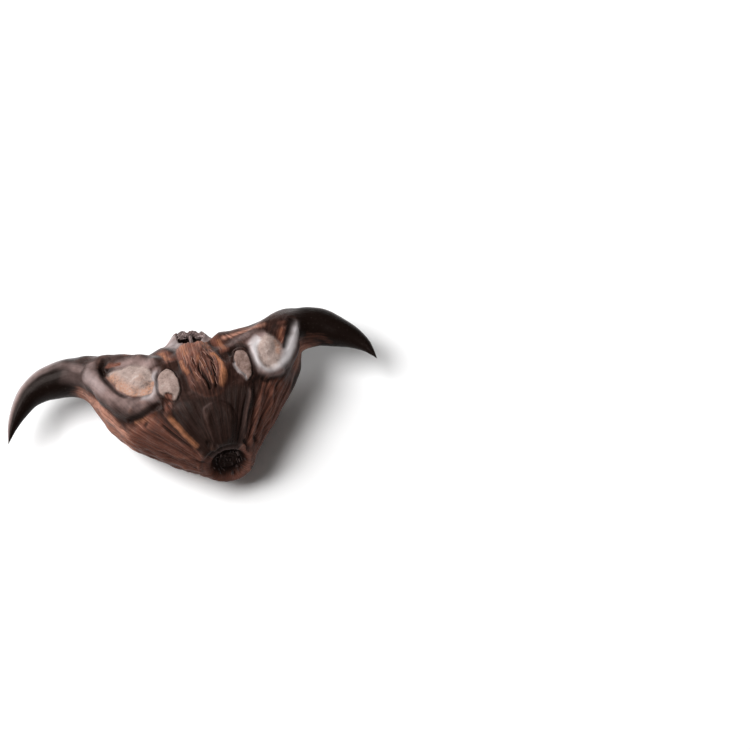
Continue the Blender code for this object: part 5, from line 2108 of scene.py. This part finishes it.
class NUT_OT_fibres(bpy.types.Operator):
    """Make the loose fibres that lie over the torn shields of the face and the back"""

    bl_idname = "nut.fibres"
    bl_label = "Shield fibres"

    def execute(self, context):
        sizes = context.scene.nut_fibres
        tree = skin_tree(bpy.data.objects["husk"])
        stem = grow_stem("fibre", FIBRE_WIDTHS)
        rng = np.random.default_rng(STRAND_SEED)
        copies = []
        for side, number in ((1, sizes.strands), (-1, sizes.strands // BACK_STRANDS)):
            for _ in range(number):
                path = self.over_skin(tree, rng, side)
                if path is not None:
                    thick = sizes.strand_thickness * rng.uniform(*STRAND_THICKNESS)
                    copies.append(lay_stem(stem, path, thick, rng.uniform(*STRAND_TONE)))
        colours = context.scene.nut_colours
        low = scaled(colours.rust, TORN_FIBRE_SHARE)
        material = fibre_material(
            "torn_fibre", low, colours.rust_pale, colours.pit, FIBRE_ROUGHNESS)
        gather(stem, copies, "shield_fibres", material)
        return {"FINISHED"}

    def over_skin(self, tree, rng, side):
        """A path down the shield, just off the skin, with its two ends in it."""
        start = rng.uniform(*(STRAND_START_FACE if side > 0 else STRAND_START_BACK))
        length = rng.uniform(*STRAND_LENGTH)
        across = rng.uniform(*STRAND_ACROSS)
        drift = rng.normal(*STRAND_DRIFT)
        lift = rng.uniform(*STRAND_LIFT)
        origin = crown_origin()
        path = []
        for t in np.linspace(0, 1, STRAND_POINTS):
            y = start - length * t
            middle = along_table(FIBRE_LINES, y)
            half = along_table(FIBRE_LINES, y, 2)
            wave = STRAND_WAVE * math.sin(STRAND_WAVE_TURNS * t + start)
            x = middle + (across + drift * t + wave) * half
            above = Vector((x, y, STRAND_ABOVE * side)) * MM + Vector(origin)
            found = tree.ray_cast(above, Vector((0, 0, -side)))
            if found[0] is None:
                return None
            off = lift * math.sin(math.pi * t) - STRAND_SINK * (1 - math.sin(math.pi * t))
            path.append(found[0] + found[1] * off * MM)
        path = np.array(path)
        for _ in range(STRAND_EVENINGS):
            path[1:-1] = (path[:-2] + 2 * path[1:-1] + path[2:]) / 4
        return path


class NUT_OT_stubs(bpy.types.Operator):
    """Make the broken fibre ends in the stem scar"""

    bl_idname = "nut.stubs"
    bl_label = "Scar stubs"

    def execute(self, context):
        sizes = context.scene.nut_fibres
        stem = grow_stem("stub", STUB_WIDTHS)
        rng = np.random.default_rng(STUB_SEED)
        axis, first, second = around(SCAR_AXIS)
        copies = []
        for _ in range(sizes.stubs):
            turn = rng.uniform(0, 2 * np.pi)
            far = STUB_FAR * math.sqrt(rng.uniform(*STUB_SPREAD))
            height = STUB_FLOOR + STUB_FLOOR_RISE * smooth(*STUB_FLOOR_EDGE, far)
            out = np.cos(turn) * first + np.sin(turn) * second
            base = np.array(SCAR_AT) + far * out + height * axis
            tip = base + axis * rng.uniform(*STUB_LENGTH) + out * rng.normal(*STUB_LEAN)
            tip = tip + np.cross(axis, out) * rng.normal(*STUB_LEAN)
            t = np.linspace(0, 1, STUB_POINTS)[:, None]
            path = crown_origin() + (base + (tip - base) * t) * MM
            thick = rng.uniform(*STUB_THICKNESS) * MM
            copies.append(lay_stem(stem, path, thick, rng.uniform(*STUB_TONE)))
        colours = context.scene.nut_colours
        low = scaled(colours.husk_mauve, STUB_DARK_SHARE)
        high = scaled(colours.tan_brown, STUB_PALE_SHARE)
        material = fibre_material("scar_fibre", low, high, colours.pit, STUB_ROUGHNESS)
        gather(stem, copies, "scar_stubs", material)
        return {"FINISHED"}


class NUT_OT_stage(bpy.types.Operator):
    """Make the pale floor, the soft lights and the camera"""

    bl_idname = "nut.stage"
    bl_label = "Stage"

    def execute(self, context):
        self.floor()
        self.lights(context.scene.nut_studio)
        self.camera(context.scene.nut_studio)
        context.scene.view_settings.view_transform = "Standard"
        return {"FINISHED"}

    def floor(self):
        """A pale floor just under the nut."""
        deselect()
        bpy.ops.mesh.primitive_plane_add(size=FLOOR_SIZE, location=(0, 0, -FLOOR_DROP * MM))
        bpy.ops.object.transform_apply(location=True, rotation=False, scale=False)
        nodes = Nodes("pale_floor")
        colour = nodes.ramp(nodes.noise(nodes.place(), *FLOOR_CLOUD), FLOOR_TONES)
        nodes.surface(Base_Color=colour, Roughness=FLOOR_ROUGHNESS, Specular_IOR_Level=FLOOR_SPECULAR)
        floor = named(bpy.context.object, "floor", nodes.material)

    def soft_light(self, name, place, size, power):
        """A soft rectangular light that shines on the nut."""
        data = bpy.data.lights.new(name, "AREA")
        data.shape = "RECTANGLE"
        data.size, data.size_y = size
        data.energy = power
        light = bpy.data.objects.new(name, data)
        bpy.context.scene.collection.objects.link(light)
        light.location = place
        light.rotation_euler = (-Vector(place)).to_track_quat("-Z", "Y").to_euler()

    def lights(self, studio):
        """The two soft lights and the pale room."""
        self.soft_light("key", *KEY_LIGHT, studio.key_power)
        self.soft_light("rim", *RIM_LIGHT, studio.rim_power)
        world = bpy.data.worlds.new("room")
        bpy.context.scene.world = world
        world.use_nodes = True
        background = world.node_tree.nodes["Background"]
        background.inputs["Color"].default_value = ROOM_COLOUR
        background.inputs["Strength"].default_value = studio.surround

    def camera(self, studio):
        """Looks at the crown at the photograph's angle, with the nut to the left of the frame."""
        data = bpy.data.cameras.new("camera")
        data.lens = studio.lens
        data.sensor_width = SENSOR
        camera = bpy.data.objects.new("camera", data)
        bpy.context.scene.collection.objects.link(camera)
        away = Vector((0, -math.cos(studio.elevation), math.sin(studio.elevation)))
        up = Vector((0, math.sin(studio.elevation), math.cos(studio.elevation)))
        turn = studio.roll
        right = Vector((1, 0, 0)) * math.cos(turn) - up * math.sin(turn)
        over = Vector((1, 0, 0)) * math.sin(turn) + up * math.cos(turn)
        facing = Matrix((right, over, away)).transposed()
        half = VIEW_FRAME / 2
        wide = SENSOR / VIEW_FRAME / studio.lens
        aim = Vector(((VIEW_CROWN[0] - half) * wide, (half - VIEW_CROWN[1]) * wide, -1.0))
        swing = Vector((0, 0, -1)).rotation_difference(aim.normalized())
        target = Vector(crown_origin())
        distance = VIEW_SCALE * VIEW_FRAME * studio.lens / SENSOR * MM
        camera.rotation_euler = (facing @ swing.to_matrix().transposed()).to_euler()
        camera.location = target + away * distance
        data.clip_start = distance * CLIP_START_SHARE
        data.clip_end = CLIP_END
        bpy.context.scene.camera = camera


class NUT_PT_panel(bpy.types.Panel):
    """The nut's pieces, sizes and colours"""

    bl_idname = "NUT_PT_panel"
    bl_label = "Water chestnut"
    bl_space_type = "VIEW_3D"
    bl_region_type = "UI"
    bl_category = "Nut"

    def draw(self, context):
        layout = self.layout
        for operator, _ in STEPS:
            layout.operator(operator)
        for group in GROUPS:
            settings = getattr(context.scene, group)
            box = layout.box()
            for name in settings.__annotations__:
                box.prop(settings, name)


STEPS = (
    ("nut.husk", bpy.ops.nut.husk),
    ("nut.bristles", bpy.ops.nut.bristles),
    ("nut.fibres", bpy.ops.nut.fibres),
    ("nut.stubs", bpy.ops.nut.stubs),
    ("nut.stage", bpy.ops.nut.stage),
)
GROUPS = {
    "nut_husk": HuskSizes,
    "nut_colours": HuskColours,
    "nut_fibres": FibreSizes,
    "nut_studio": StudioSettings,
}
CLASSES = (HuskSizes, HuskColours, FibreSizes, StudioSettings, NUT_OT_husk, NUT_OT_bristles,
           NUT_OT_fibres, NUT_OT_stubs, NUT_OT_stage, NUT_PT_panel)


def register():
    for kind in CLASSES:
        bpy.utils.register_class(kind)
    for name, kind in GROUPS.items():
        setattr(bpy.types.Scene, name, PointerProperty(type=kind))


def unregister():
    for name in GROUPS:
        delattr(bpy.types.Scene, name)
    for kind in reversed(CLASSES):
        bpy.utils.unregister_class(kind)


def main():
    register()
    for name, step in STEPS:
        if step() != {"FINISHED"}:
            raise RuntimeError(name + " did not finish")


if __name__ == "__main__":
    main()
